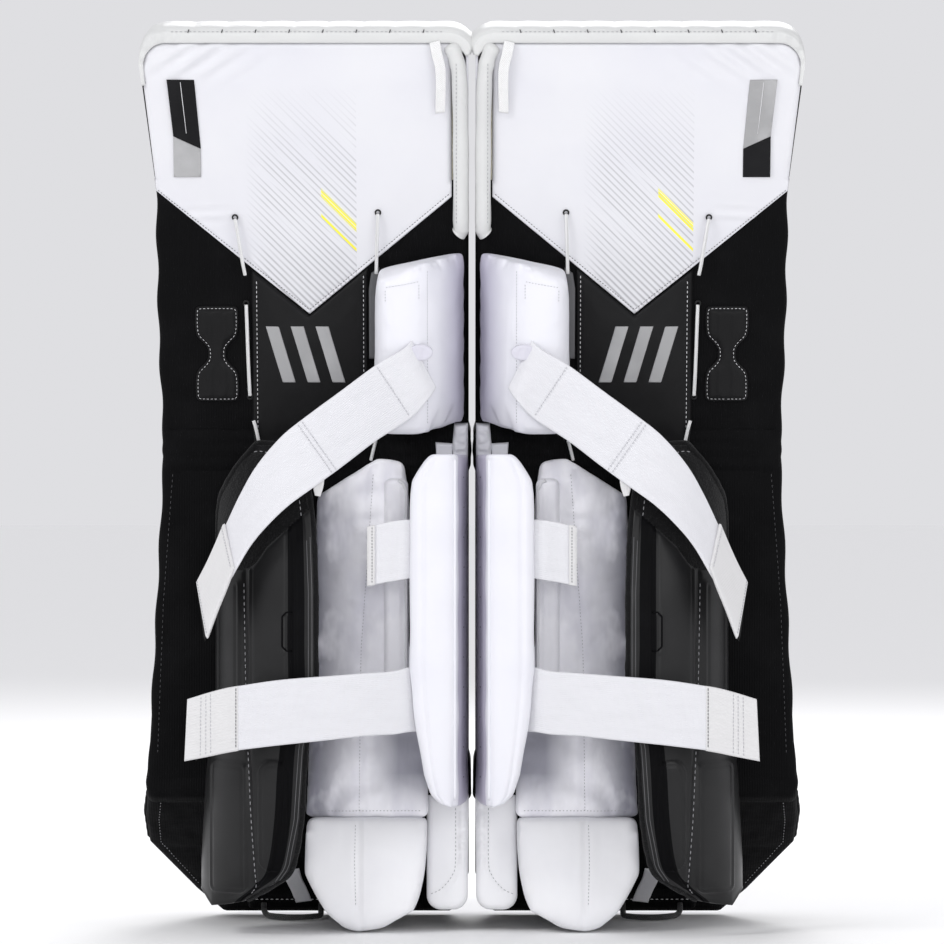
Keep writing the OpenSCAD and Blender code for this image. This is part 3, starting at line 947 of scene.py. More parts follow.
def stitched(name, paths, thread, body, slot, blend=None, **size):
    """Rows of stitches along paths that lie on a surface, as one piece."""
    shape = joined(*[stitches(p, **size) for p in paths])
    return pair(name, shape, thread, body, slot, blend=blend)


# ---- cords ----

TOE_CORD = [
    (182, 120, 12), (182, 117, 8), (181, 112, 5), (178, 105, 3), (174, 97, 3), (168, 90, 3), (160, 85, 3),
    (151, 84, 3), (143, 87, 3), (137, 93, 3), (133, 101, 3), (132, 108, 4), (132, 113, 6), (132, 117, 8),
    (132, 120, 12),
]


def make_toe_cords():
    """A loop of black cord that comes out of the toe bridge and lies on the floor."""
    for side in SIDES:
        sign = 1 if side == "right" else -1
        points = [(sign * x * MM, (BACK_Y + y) * MM, z * MM) for x, y, z in TOE_CORD]
        data = bpy.data.curves.new(f"{side}_toe_lace", "CURVE")
        data.dimensions = "3D"
        data.bevel_depth = CORD_D / 2 * MM
        data.bevel_resolution = 3
        data.resolution_u = 6
        line = data.splines.new("BEZIER")
        line.bezier_points.add(len(points) - 1)
        for point, place in zip(line.bezier_points, points):
            point.co = place
            point.handle_left_type = point.handle_right_type = "AUTO"
        data.materials.append(black_cord)
        cord = add_object(f"{side}_toe_lace", data)
        length = sum(math.dist(a, b) for a, b in zip(points, points[1:]))
        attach(cord, f"{side}_boot")
        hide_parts(f"{side}_toe_cord")
        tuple(points[0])


# ---- outlines of the sections, as seen from behind ----

TOP_CORNER = 22.0
TOP_X = X_OUT - 5.0  # the outer edge at the top
INNER_CORNER = 17.0


def thigh_outline(foot):
    return np.array([
        (X_IN, foot), (X_OUT - 22, foot), (X_OUT - 19, 100), (X_OUT - 19, 215),
        *arc((TOP_X - TOP_CORNER, THIGH_TOP - TOP_CORNER), TOP_CORNER, 0, 90),
        *arc((X_IN + INNER_CORNER, THIGH_TOP - INNER_CORNER), INNER_CORNER, 90, 180),
    ])


def shin_outline(grow, foot):
    return np.array([
        (X_IN - grow, foot), (X_OUT - 8 + grow, foot), (X_OUT - 16 + grow, 280),
        (X_OUT - 22 + grow, KNEE_Z), (X_IN - grow, KNEE_Z),
    ])


def boot_outline(grow, head):
    toe = BOOT_END + 1
    return np.array([
        (X_IN - grow, head), (X_IN - grow, -130), (X_IN + 14 - grow, toe), (X_OUT - 64 + grow, toe),
        (X_OUT - 42 + grow, -152), (X_OUT - 5 + grow, -78), (X_OUT - 4 + grow, -40), (X_OUT - 8 + grow, head),
    ])


def v_edge(x):
    """Height of the white cover's lower edge, a V with its tip over the knee."""
    return np.where(x < 137, 218 - (x - 17) * 100 / 120, 118 + (x - 137) * 105 / 131)


# ---- the pads' faces and backs ----

def front_seams(x, h, section):
    """Depth of the sewn seams on the face of a section: beside the black roll and each stripe."""
    depth = 1.6 * groove(x - ACCENT_X, 1.6)
    for start, rise in STRIPES[section]:
        above = h - start - (x - X_IN) * rise
        for half in (-11, 11):
            depth = depth + 1.2 * groove(above - half, 1.6) * (x < ACCENT_X)
    return depth


def make_face(section, place, outline, skirt, nodes=(), rise=1.5, reach=60):
    """The leather face of a section, wrapped round its sides down to the depth skirt(x, h)."""
    def height(x, h, edge):
        return -9 * (1 - dome(edge, 9)) + rise * step(0, reach, edge) - front_seams(x, h, section)

    face = relief(place, outline, height, FACE_Y, toward=1, skirt=skirt, spacing=4.5,
                  insets=(0.6, 1.8, 3.5, 6, 9), thickness=2.2)
    pair(f"{section}_face", face, striped_leather[section], section, "face_leather", nodes)


def nylon_back(place, outline, height, base, depth=12.0, insets=(0.4, 1.2, 2.4, 4, 6)):
    """The nylon behind a section, wrapped round its sides down to a depth."""
    return relief(place, outline, height, base, skirt=lambda x, h: np.full_like(x, depth), spacing=3.2,
                  insets=insets)


# ---- thigh section ----

def thigh_nylon_height(x, h, edge):
    """Ribbed nylon: rounded at its edges, with soft puckers near the outer edge and the knee."""
    outer = groove(X_OUT - 20 - x, 26)
    knee = groove(h, 34)
    puckers = 0.9 * outer * np.sin(h / 7.5 + 2 * ripple(x, h, 30, 3)) + 1.3 * knee * ripple(x, h * 2.6, 42, 4)
    folds = 0.6 * ripple(x, h, 55, 5) + 0.35 * ripple(x * 0.6, h * 2, 16, 6)
    inner = step(3, 14, edge)
    return -7 * (1 - dome(edge, 7)) + inner * (0.45 + 0.7 * puckers + 0.6 * folds)


def make_thigh():
    nylon_outline = np.array([(X_IN, 1), (X_OUT - 22, 1), (X_OUT - 19, 100), (X_OUT - 18.5, 215),
                              (X_OUT - 18, 232), (X_IN, 232)])
    wavy = dense(nylon_outline, 4)
    wavy[:, 0] += np.where(wavy[:, 0] > 200, 0.9 * np.sin(wavy[:, 1] / 9.0) + 1.3, -0.2)
    back = nylon_back(thigh, wavy, thigh_nylon_height, NYLON_Y)
    pair("thigh_nylon", back, black_nylon, "thigh", "black_nylon", ["knee_back_cover"])
    make_face("thigh", thigh, thigh_outline(foot=8), lambda x, h: np.where(h > 226, -1.0, 6.0), ["thigh_face_cover"])

    def cover_height(x, h, edge):
        top_folds = np.exp(-((x - 232) ** 2 / 1700 + (h - 334) ** 2 / 230)) * np.sin((x * 0.7 + h) / 2.8) * 1.8
        eyelet_folds = np.exp(-((x - 222) / 22) ** 2 - ((h - 203) / 7) ** 2) * np.sin(h / 1.6 + x / 30) * 0.9
        hem = np.clip(h - v_edge(x), 0, 99)
        piping = 0.8 * groove(hem - 1.2, 0.9) * (h < 260)
        sewn = 0.8 * groove(hem - 3.4, 0.9) * (h < 260)
        puffed = 1.5 * step(4, 40, np.minimum(edge, hem)) + 0.4 * ripple(x, h, 48, 7)
        return -5 * (1 - dome(edge, 5)) * (hem > 12) - 1.6 * (1 - dome(edge, 1.6)) * (hem <= 12) \
            + piping - sewn + puffed * step(2, 12, edge) + top_folds + eyelet_folds

    outline = np.array([
        (17, 218), (137, 118), (X_OUT - 18, 223), *arc((TOP_X - 24, THIGH_TOP - 26), 22.5, 0, 90),
        (17, THIGH_TOP - 3.5)])
    cover = relief(thigh, outline, cover_height, NYLON_Y - 2.4, spacing=2.6, insets=(0.35, 1.0, 1.9, 3.2, 4.8),
                   skirt=lambda x, h: np.where(h - v_edge(x) < 14, NYLON_Y + 0.2, 5.0), thickness=1.4)
    pair("thigh_cover", cover, cover_print, "thigh", "smooth_white", ["thigh_back_cover"])
    skin = Surface(cover)
    hem = [skin.seam(thigh, [(19, 220.6), (137, 122.0), (X_OUT - 17, 225.6)])]
    stitched("cover_stitches", hem, dark_thread, "thigh", "smooth_white", length=1.5, gap=1.3, radius=0.3)
    make_top()
    make_panel_and_patch()
    make_laces()


def make_top():
    """The laced roll along the top edge, and the rolled inner edge beside the knee block."""
    path, ways = [], []
    centre = np.array([X_IN + INNER_CORNER, THIGH_TOP - INNER_CORNER])
    for a in np.linspace(172, 90, 14):
        way = np.array([math.cos(math.radians(a)), math.sin(math.radians(a))])
        path.append(centre + way * INNER_CORNER)
        ways.append(way)
    for x in np.arange(X_IN + INNER_CORNER + 2, TOP_X - TOP_CORNER, 2.0):
        path.append(np.array([x, THIGH_TOP]))
        ways.append(np.array([0, 1.0]))
    centre = np.array([TOP_X - TOP_CORNER, THIGH_TOP - TOP_CORNER])
    for a in np.linspace(90, 0, 30):
        way = np.array([math.cos(math.radians(a)), math.sin(math.radians(a))])
        path.append(centre + way * TOP_CORNER)
        ways.append(way)
    for h in np.arange(THIGH_TOP - TOP_CORNER - 2, THIGH_TOP - 42, -2.0):
        path.append(np.array([TOP_X - (330 - h) * 0.12, h]))
        ways.append(np.array([1.0, 0]))
    path, ways = np.array(path), np.array(ways)
    run = run_of(path)
    profile = through([(-4.4, -4.6), (-5.4, -3.6), (-5.8, 0), (-5.4, 4.2), (-4.2, 5.3), (-3.4, 6.6), (0, 8.8), (8, 10),
                       (22, 10.2), (34, 9.6), (44, 6.5), (48.6, 0), (49.2, -9), (48.2, -11), (46.6, -8), (44, 0),
                       (22, 6), (0, 3), (-3.4, 0), (-3.9, -4)], 72)
    sections = []
    corner_start = run[14 + len(np.arange(X_IN + INNER_CORNER + 2, TOP_X - TOP_CORNER, 2.0))]
    for k, (p, way) in enumerate(zip(path, ways)):
        taper = step(0, 7, run[k]) * (1 - 0.8 * step(run[-1] - 40, run[-1], run[k]))
        puff = 0.9 * abs(math.sin(math.pi * (run[k] - 12) / 28)) ** 0.5 - 0.9
        gather = 0.8 * math.sin(run[k] / 1.9) * float(step(corner_start - 22, corner_start - 4, run[k])
                                                      * (1 - step(run[-1] - 30, run[-1] - 8, run[k])))
        ring = []
        for y, out in profile:
            reach = 0.12 + 0.88 * max(0.0, way[1]) ** 2 if way[0] > 0 else 1.0
            rise = out * (0.25 + 0.75 * taper) * reach if out > 0 else out * (0.6 + 0.4 * taper)
            body = rise + (puff if out > 6 else 0) * taper
            swell = gather * math.exp(-((out - 1) / 6) ** 2) if y < 0 else 0.3 * gather
            q = p + way * body
            ring.append(thigh(q[0], y - swell * (1 if y < 22 else -1), q[1]))
        sections.append(ring)
    roll = sweep(sections)
    pair("top_roll_cover", roll, roll_leather, "thigh", "face_leather", ["top_roll"])
    skin = Surface(roll)
    ticks = []
    for x in np.arange(40, X_OUT - 20, 28.0):
        row = skin.seam(thigh, [(x, THIGH_TOP + 6.6), (x + 0.8, THIGH_TOP + 4.4)], lift=0.4, spacing=0.5)
        if len(row) > 2:
            ticks.append(tube(row, 0.5, 6))
    pair("roll_lacing", joined(*ticks), dark_thread, "thigh", "face_leather")
    flat_seam = skin.seam(thigh, [(24, THIGH_TOP + 5.0), (X_OUT - 30, THIGH_TOP + 5.0)])
    stitched("roll_stitches", [flat_seam], grey_thread, "thigh", "face_leather", length=2.2, gap=1.6, radius=0.3)
    edge_path = through([(12, -3.2, 186), (9.5, -4.3, 190), (9.3, -5.2, 200), (9.3, -5.2, 260), (10.4, -5.2, 315),
                         (13.2, -4.8, 334), (18.5, -4.0, 347)], 90)
    radius = 6.2 * dome(np.linspace(0, 1, 90), 0.045) * dome(np.linspace(1, 0, 90), 0.06) + 0.4
    radius = radius + 0.22 * np.sin(np.linspace(0, 42, 90))
    edge_roll = tube(thigh(*edge_path.T), radius, sides=18)
    pair("inner_edge_roll", edge_roll, roll_leather, "thigh", "face_leather")
    row = Surface(edge_roll).seam(thigh, [(13.2, 196), (13.2, 332)], lift=0.3)
    stitched("edge_stitches", [row], grey_thread, "thigh", "face_leather", length=2.0, gap=1.4, radius=0.3)


def make_panel_and_patch():
    """The leather panel over the knee, the hook-and-loop patch beside it and the woven size label."""
    def panel_height(x, h, edge):
        side = np.minimum(np.abs(x - 91.5), np.abs(x - 181.5))
        return 4 * dome(edge, 3.5) - 0.8 * groove(side, 1.0) + 1.1 * step(4, 24, edge) + 0.3 * ripple(x, h, 34, 11)

    outline = np.array([(87.5, 3), (186, 3), (186, 156.5), (137, 117), (87.5, 158.4)])
    panel_shape = relief(thigh, outline, panel_height, NYLON_Y - 0.3, back=NYLON_Y + 1.5, spacing=2.6)
    pair("knee_panel", panel_shape, black_leather, "thigh", "black_leather", ["centre_panel"])
    top = Surface(panel_shape)
    seams = [top.seam(thigh, [(91.5, 8), (91.5, 152)]), top.seam(thigh, [(181.5, 8), (181.5, 150)])]
    stitched("panel_stitches", seams, white_thread, "thigh", "black_leather", length=2.2, gap=1.8, radius=0.32)
    bars = []
    for k in range(3):
        x = 107 + 21 * k
        bar = np.array([(x, 60), (x + 11, 60), (x + 25, 108), (x + 14, 108)])
        flat, faces, ring = filled(bar, 2.4, (0.5, 1.2))
        edge = distance(flat, flat[ring], True)
        rise = NYLON_Y - 0.3 - panel_height(flat[:, 0], flat[:, 1], np.full(len(flat), 20.0)) + 0.5
        front = thigh(flat[:, 0], rise - 0.5 - 0.55 * dome(edge, 0.7), flat[:, 1])
        rear = thigh(flat[:, 0], rise + 1.0, flat[:, 1])
        faces = with_back(faces, zip(ring, ring[1:] + ring[:1]), len(flat))
        bars.append(outward(np.concatenate([front, rear]), faces, np.concatenate([flat, flat]) * MM))
    pair("panel_bars", joined(*bars), print_grey, "thigh", "black_leather")

    half = through([(211, 43), (223, 43.2), (226.4, 45), (227.3, 50), (227.2, 62), (225.6, 69.5), (221, 75),
                    (218.2, 79.5), (217.8, 84), (218.2, 88.5), (221, 93), (225.6, 98.5), (227.2, 106), (227.3, 118),
                    (226.4, 123), (223, 124.8), (211, 125)], 72)
    half[:, 0] = 215.5 + (half[:, 0] - 211) * 1.13
    other = half[::-1].copy()
    other[:, 0] = 431 - other[:, 0]
    patch_outline = np.concatenate([half[:-1], other[:-1]])

    def patch_height(x, h, edge):
        return 2.2 * dome(edge, 1.4) - 0.6 * groove(edge - 2.1, 0.7) + 0.8 * step(3.0, 5.0, edge) \
            + 0.8 * (groove(x - 209.5, 2.2) + groove(x - 221.5, 2.2)) * step(4, 7, edge)

    patch = relief(thigh, patch_outline, patch_height, NYLON_Y - 0.4, back=NYLON_Y + 1, spacing=1.8,
                   insets=(0.35, 0.9, 1.7, 2.6, 3.4, 4.2, 5.4))
    pair("knee_patch_cover", patch, black_leather, "thigh", "black_leather", ["knee_patch"])
    ahead = np.roll(patch_outline, -1, axis=0) - np.roll(patch_outline, 1, axis=0)
    sideways = unit(np.stack([-ahead[:, 1], ahead[:, 0]], axis=1))
    sewn_in = 2.1
    line = patch_outline + sewn_in * sideways
    if not inside(line, patch_outline).all():
        line = patch_outline - sewn_in * sideways
    line = np.vstack([line, line[:1]])
    stitched("patch_stitches", [Surface(patch).seam(thigh, line)], white_thread, "thigh", "black_leather",
             length=1.8, gap=1.5, radius=0.24)
    parts = []
    split = [(227, 259), (250, 269.5)]
    for outline in ([(227, 235), (250, 235), split[1], split[0]], [split[0], split[1], (255, 317), (232, 317)]):
        parts.append(relief(thigh, np.array(outline, float), lambda x, h, e: 0.75 * dome(e, 0.5),
                            NYLON_Y - 4.4, back=NYLON_Y - 2.0, spacing=4, insets=(0.3, 0.8)))
    picks = [0] * len(parts[0][1]) + [1] * len(parts[1][1])
    pair("size_tag", joined(*parts), {"left": [label_grey, label_black], "right": [label_black, label_grey]},
         "thigh", "label_print", ["size_label"], picks=picks)
    tag_line = tube(thigh(*np.array([(239, -7.3, 272), (243.5, -7.3, 315)]).T), 0.3, 6)
    pair("tag_line", tag_line, white_thread, "thigh", "label_print")


def make_laces():
    """White laces between eyelets. Each run leaves the surface a little and sags against it."""
    runs = [
        [(199, -8.6, 200), (197.5, -9.4, 192), (195, -9.2, 176), (192.6, -8.8, 161), (191, -7.2, 152)],
        [(190.5, -3.6, 126), (190, -5.4, 112), (189.4, -5.6, 88), (188.6, -5.2, 62), (188, -3.8, 48)],
        [(185, -7.6, 27), (183.4, -9.0, 22), (181.9, -8.6, 15), (181, -7.4, 10)],
        [(79, -8.0, 204), (79.2, -8.8, 199), (80, -8.8, 176), (80.6, -6.0, 153)],
    ]
    shapes = [tube(thigh(*through(run, 30).T), 1.5, 10) for run in runs]
    pair("lace_runs", joined(*shapes), white_lace, "thigh", "white_lace", ["tuning_laces"])
    left_edge = thigh(*np.array([(27, -6.6, 350), (25, -9.6, 340), (22, -10.2, 324), (22.5, -8.6, 290)]).T)
    right_edge = thigh(*np.array([(35.5, -6.6, 348), (33.5, -9.6, 338), (30.4, -10.2, 323), (30.4, -8.6, 289)]).T)
    lace_end, _ = ribbon(list(zip(left_edge, right_edge)), 1.1, count=50, spacing=0.9, crown=0.5)
    pair("lace_end", lace_end, white_lace, "thigh", "white_lace")
    holes, radius, angles = [], 2.1, np.linspace(0, 2 * math.pi, 17)[:-1]
    for x, y, h in ((199, -7.0, 201), (190.6, -2.9, 127), (187.9, -2.9, 47), (79, -6.4, 205)):
        rim = [thigh(x + radius * math.cos(a), y, h + radius * math.sin(a)) for a in angles]
        holes.append(tube(rim, 0.75, 8, closed=True))
    pair("eyelets", joined(*holes), black_moulded, "thigh", "black_moulded")


# ---- knee block and its strap ----

def make_knee_block():
    plan = np.array([(4.6, -6), (79, -6), (80, -58), (77.5, -66), (73, -71), (45, -71), (38, -66), (7.0, -13)])

    def stack(heights, inset, rounded):
        centre = plan.mean(axis=0)
        rings = []
        for h in heights:
            more = inset + (rounded if h in (heights[0], heights[-1]) else 0.0)
            ring = plan + (centre - plan) / np.linalg.norm(centre - plan, axis=1, keepdims=True) * more
            slope = step(110, 174, h) * (1 + 15 * step(44, 78, ring[:, 0]) ** 1.3)
            rings.append(thigh(ring[:, 0], ring[:, 1], h - slope))
        return sweep(rings)

    start = stack((27, 29, 60, 100, 150, 172, 174), 0.0, 2.0)
    filling = stack((38, 40, 100, 152, 156), 9.0, 2.0)
    pair("knee_block_filling", filling, core_foam, "knee_block", "core_foam", ["knee_block_foam"])
    back = thigh(0, 0, 0)
    facing = thigh(0, -1, 0) - back

    def held(points):
        return (points - back) @ facing < 9

    points, faces, _ = inflated(start, voxel=4.5, pressure=5, cap=3.4, held=held)
    seams = [thigh(*np.array([(40, -70, 31), (40, -72, 100), (40, -70, 176)]).T),
             thigh(*np.array([(80, -64, 31), (82, -66, 100), (80, -64, 176)]).T),
             thigh(*np.array([(38, -68, 167), (62, -71, 164), (80, -64, 153)]).T),
             thigh(*np.array([(38, -68, 31), (62, -71, 29), (80, -64, 31)]).T)]
    n = vertex_normals(points, faces)
    sink = sum(0.8 * groove(distance(points, seam), 2.2) for seam in seams)
    out = (points - back) @ facing
    x, y, z = points.T
    wrinkle = 0.35 * ripple(x * 2.2, z * 0.8, 22, 21) + 0.3 * ripple(y, z, 13, 22)
    points = points + n * ((wrinkle - sink) * step(9, 20, out))[:, None]
    block = (points, faces, points[:, [0, 2]] * MM)
    across_block = np.array([points[list(f)].mean(axis=0)[0] for f in faces])
    # painted shade: faces towards the other pad get the lilac-grey leather, the outer side plain white
    shaded = np.where(across_block < 9, 1, np.where(across_block > 72, 2, 0))
    pair("knee_block_pad", block, [block_leather_painted_shade, shade_painted_leather, smooth_white], "knee_block", "smooth_white",
         ["knee_block_cover"], picks=shaded)
    skin = Surface(block)
    lines = [[(44, 157), (72, 152)], [(44, 155), (44, 142)], [(72, 150), (72, 138)], [(37, 36), (37, 166)]]
    stitched("block_stitches", [skin.seam(thigh, line, lift=0.2) for line in lines], grey_thread, "knee_block",
             "smooth_white", length=1.3, gap=1.3, radius=0.26)
    web = np.array([(78, 80), (87, 80), (87, 140), (85, 153), (78, 158)])
    side_web = relief(thigh, web, lambda x, h, e: 1.4 * dome(e, 1.5), NYLON_Y - 2.6, back=NYLON_Y - 0.4)
    pair("block_side_web", side_web, stiffener, "thigh", "black_nylon")
    # painted shade: a soft lilac oval on the block where the knee strap's end shades it
    around = np.radians(np.arange(0, 360, 12))
    oval = np.stack([43 + 10.5 * np.cos(around), 98 + 6.5 * np.sin(around)], axis=1)

    def shade_patch_height(x, h, edge):
        return 0.9 * dome(edge, 3) + 0.5 * ripple(x, h, 4, 23) * step(1, 3, edge)

    slot = relief(thigh, oval, shade_patch_height, -74.6, back=-70, spacing=1.8, insets=(0.35, 1.0, 1.9, 3.0))
    pair("strap_end_shade", slot, lilac_shade_patch, "knee_block", "smooth_white")


KNEE_STRAP = [
    ((50, -91.5, 499), (30, -82.5, 460)), ((58, -96.5, 491), (37, -88, 449)), ((80, -95, 478), (51, -86, 434)),
    ((108, -103, 457), (80, -96, 415)), ((135, -107, 437), (106, -104, 395)), ((157.5, -105, 419), (129, -111, 378)),
    ((178, -97, 395), (151, -113, 362)), ((192, -87.5, 371), (169, -112, 345)), ((204, -80, 346), (184, -109, 327)),
    ((214, -75, 325), (200, -103.5, 300)),
]
KNEE_TAB = [
    ((206, -82.5, 346.5), (196.7, -107, 310)), ((213.5, -78, 329), (203, -104.5, 293)),
    ((221, -73.5, 313), (210.5, -101, 275)), ((229.3, -69, 297.5), (219.5, -98, 251)),
]
CALF_STRAP = [
    ((43, -93.5, 229), (43, -93.5, 174)), ((48.5, -96.5, 228.5), (48.5, -96.5, 174)),
    ((55, -100, 227), (55, -100, 173.5)), ((66, -103.5, 224.5), (66, -103.5, 172)),
    ((90, -109.5, 223), (90, -109.5, 171)), ((117, -112.3, 221), (117, -112.3, 168)),
    ((160, -112.5, 217.5), (160, -112.5, 163.5)), ((197, -111.5, 212), (197, -111.5, 159)),
]
CALF_TAB = [
    ((193, -111.9, 212.8), (193, -111.9, 159)), ((204, -111.4, 210.8), (204, -111.4, 157)),
    ((218, -110, 207), (218, -110, 154)), ((235.5, -107, 201.5), (238, -107, 150)),
]
TAB_STRAP = [
    ((46, -95, 350), (46, -95, 301)), ((52, -98, 350), (52, -98, 301)), ((60, -98.4, 349.5), (60, -98.4, 299.5)),
    ((72, -95.4, 347.5), (72, -95.4, 297.5)), ((86, -93, 344), (86, -93, 294.5)),
]


def strap(name, edges, thickness, material, body, nodes=(), crown=0.0, blend=None):
    """A strap between two given edges. Returns its middle surface, to sew on."""
    placed = [(shin(*upper), shin(*lower)) for upper, lower in edges]
    shape, middle = ribbon(placed, thickness, crown=crown)
    pair(name, shape, material, body, "white_elastic", nodes, blend=blend)
    return middle


def across(middle, where, lift):
    """A line straight across a strap, at a share of its length."""
    k = where * (len(middle) - 1)
    i = min(int(k), len(middle) - 2)
    line = middle[i] * (1 - (k - i)) + middle[i + 1] * (k - i)
    n = normals(middle)[i]
    if n[len(n) // 2][1] > 0:
        n = -n
    keep = slice(2, -2)
    return line[keep] + n[keep] * lift


def sewn_across(name, middle, shares, lift, thread, body, **size):
    """Rows of stitches straight across a strap, at shares of its length."""
    stitched(name, [across(middle, share, lift) for share in shares], thread, body, "white_elastic", **size)


def make_straps():
    sewn_end = ("knee_block", "knee_strap", (43, BACK_Y - 88, 478), (67, BACK_Y - 88, 465.7))
    knee = strap("knee_elastic", KNEE_STRAP, 2.6, white_elastic, "knee_strap", ["knee_strap"], crown=0.8,
                 blend=sewn_end)
    sewn_across("knee_strap_stitches", knee, (0.222, 0.474, 0.490), 2.0, light_thread, "knee_strap",
                length=2.0, gap=0.9, radius=0.36)
    tab = strap("knee_tab", KNEE_TAB, 3.4, tab_elastic, "knee_strap", ["knee_strap_tab"], crown=0.4)
    sewn_across("knee_tab_stitches", tab, (0.05, 0.96), 2.0, light_thread, "knee_strap",
                length=2.0, gap=0.9, radius=0.36)
    under = [(np.array(a) + (0.6, 3.6, -2.6), np.array(b) + (2.2, 3.6, -2.2)) for a, b in KNEE_TAB[1:]]
    strap("knee_tab_hooks", under, 1.6, black_loops, "knee_strap")
    loop_end = [((132, -107, 385), (122, -107, 385)), ((131.5, -107, 377), (123, -107, 377)),
                ((130, -106, 370), (125.5, -106, 369))]
    strap("knee_strap_loop", loop_end, 2.0, tab_elastic, "knee_strap")
    strap("calf_elastic", CALF_STRAP, 2.6, white_elastic, "calf_strap", ["calf_strap"])
    tab = strap("calf_tab", CALF_TAB, 3.4, tab_elastic, "calf_strap", ["calf_strap_tab"])
    # a seam, and painted shade: a near-solid dark row along the tab's raised end
    sewn_across("calf_seam_and_step_shade", tab, (0.06,), 1.8, dark_thread, "calf_strap", length=2.4, gap=0.5, radius=0.36)
    sewn_across("calf_tab_stitches", tab, (0.62, 0.70, 0.78), 1.8, light_thread, "calf_strap",
                length=2.2, gap=0.9, radius=0.3)
    under = [(np.array(a) + (0, 3.2, -1.6), np.array(b) + (0, 3.2, 1.6)) for a, b in CALF_TAB[1:]]
    strap("calf_tab_hooks", under, 1.6, black_loops, "calf_strap")
    strap("tab_loop", TAB_STRAP, 2.4, white_elastic, "tab_strap", ["tab_strap"])
    fold = [((80.5, -95.9, 345.5), (80.5, -95.9, 295.5)), ((84, -96.2, 345), (84, -96.2, 295)),
            ((87, -94.8, 344), (87, -94.8, 294.5))]
    folded = strap("tab_loop_fold", fold, 1.8, tab_elastic, "tab_strap")
    sewn_across("tab_loop_stitches", folded, (0.35,), 1.2, dark_thread, "tab_strap", length=1.6, gap=1.0, radius=0.3)


# ---- shin section ----

def make_shin():
    break_z = ANKLE_Z + 0.5

    def nylon_height(x, h, edge):
        outer = groove(X_OUT - 14 - x, 26)
        folds = 0.6 * ripple(x, h, 55, 31) + 0.35 * ripple(x * 0.6, h * 2, 16, 32)
        puckers = 0.9 * outer * np.sin(h / 8.0 + 2 * ripple(x, h, 40, 33))
        knee = groove(KNEE_Z - h, 40) * ripple(x, h * 2.2, 40, 34)
        return -7 * (1 - dome(edge, 7)) + step(3, 14, edge) * (0.6 + folds * 0.6 + 0.8 * puckers + knee)

    wavy = dense(shin_outline(0.3, foot=break_z), 4)
    wavy[:, 0] += np.where(wavy[:, 0] > 200, 0.8 * np.sin(wavy[:, 1] / 10.0) + 0.9, 0)
    back = nylon_back(shin, wavy, nylon_height, -3)
    pair("shin_nylon", back, black_nylon, "shin", "black_nylon", ["shin_back_cover"])
    foot = ANKLE_Z + FACE_Y * math.tan(BOOT_LEAN / 2) + 3
    make_face("shin", shin, shin_outline(0, foot), lambda x, h: np.where(h < foot + 2, FACE_Y - 14, 6.0),
              ["shin_face_cover"])
    edge_row = Surface(back).seam(shin, [(X_OUT - 16, 150), (X_OUT - 21, 280), (X_OUT - 29, KNEE_Z - 18)], lift=0.2)
    stitched("shin_edge_stitches", [edge_row], dark_thread, "shin", "black_nylon", length=2.2, gap=2.4, radius=0.3)


def make_liner():
    """The padded liner behind the calf and the bound strip beside it."""
    outline = np.array([(36.5, 96.5), (141, 96.5), (137, 200), (131.5, 369), (80.5, 401), (57, 399), (53.5, 365),
                        (53.5, 240), (40, 214)])
    start = relief(shin, outline, lambda x, h, e: 17.5 - 0.33 * np.clip(h - 380, 0, 99), -4, back=-3.2,
                   spacing=8, insets=(3,))
    points, faces, _ = inflated(start, voxel=5, pressure=4, cap=4.2,
                                 held=lambda p: p[:, 1] - BACK_Y > -6)
    x, y, z = points.T
    behind = step(-6, -14, y - BACK_Y)
    seam = shin(*np.array([(83.6, -24, 391), (88, -24, 320), (93.7, -24, 240), (95.4, -24, 100)]).T)
    upright = shin(*np.array([(81, -24, 392), (79, -24, 300), (78, -24, 230)]).T)
    flat = points[:, [0, 2]]
    from_seam = distance(flat, seam[:, [0, 2]])
    sink = 2.3 * groove(from_seam, 3.2) + 1.6 * groove(distance(flat, upright[:, [0, 2]]), 3.4)
    quilt = 2.3 * ripple(x * 0.8, z * 0.45, 26, 41) + 2.0 * ripple(x * 1.1 + z * 0.25, z * 0.9, 16, 42) \
        + 1.1 * ripple(x * 0.7 - z * 0.4, z, 9, 43)
    tucks = 2.0 * groove(from_seam, 14) * np.sin(z / 4.4 + 3 * ripple(x, z, 30, 44))
    points = points - np.stack([0 * x, behind * (quilt + tucks - sink), 0 * x], axis=1)
    liner = (points, faces, points[:, [0, 2]] * MM)
    pair("calf_liner_pad", liner, liner_shaded, "shin", "liner_fabric", ["calf_liner"])
    skin = Surface(liner)
    rows = [skin.seam(shin, [(83.6, 388), (88, 320), (93.7, 240), (95.4, 102)], lift=0.1),
            skin.seam(shin, [(43, 103), (136, 103)], lift=0.1)]
    stitched("liner_stitches", rows, grey_thread, "shin", "liner_fabric", length=1.4, gap=1.6, radius=0.3)

    strip_outline = np.array([(54, 205), (74, 205), *arc((68, 378), 6, 0, 90, 5), *arc((60, 378), 6, 90, 180, 5)])

    def strip_height(x, h, edge):
        return 8.6 * dome(edge, 5) - 1.1 * groove(x - 58.5, 1.0) + 0.3 * ripple(x, h, 14, 45)

    strip = relief(shin, strip_outline, strip_height, -26.5, back=-20, spacing=2.2,
                   insets=(0.35, 1.0, 1.9, 3.2, 4.6))
    pair("liner_strip", strip, liner_fabric, "shin", "liner_fabric")
    bound = Surface(strip).seam(shin, [(55.6, 210), (55.6, 374), (58, 380), (62, 382)], lift=0.3)
    pair("strip_binding", tube(bound, 1.5, 10), white_elastic, "shin", "liner_fabric")


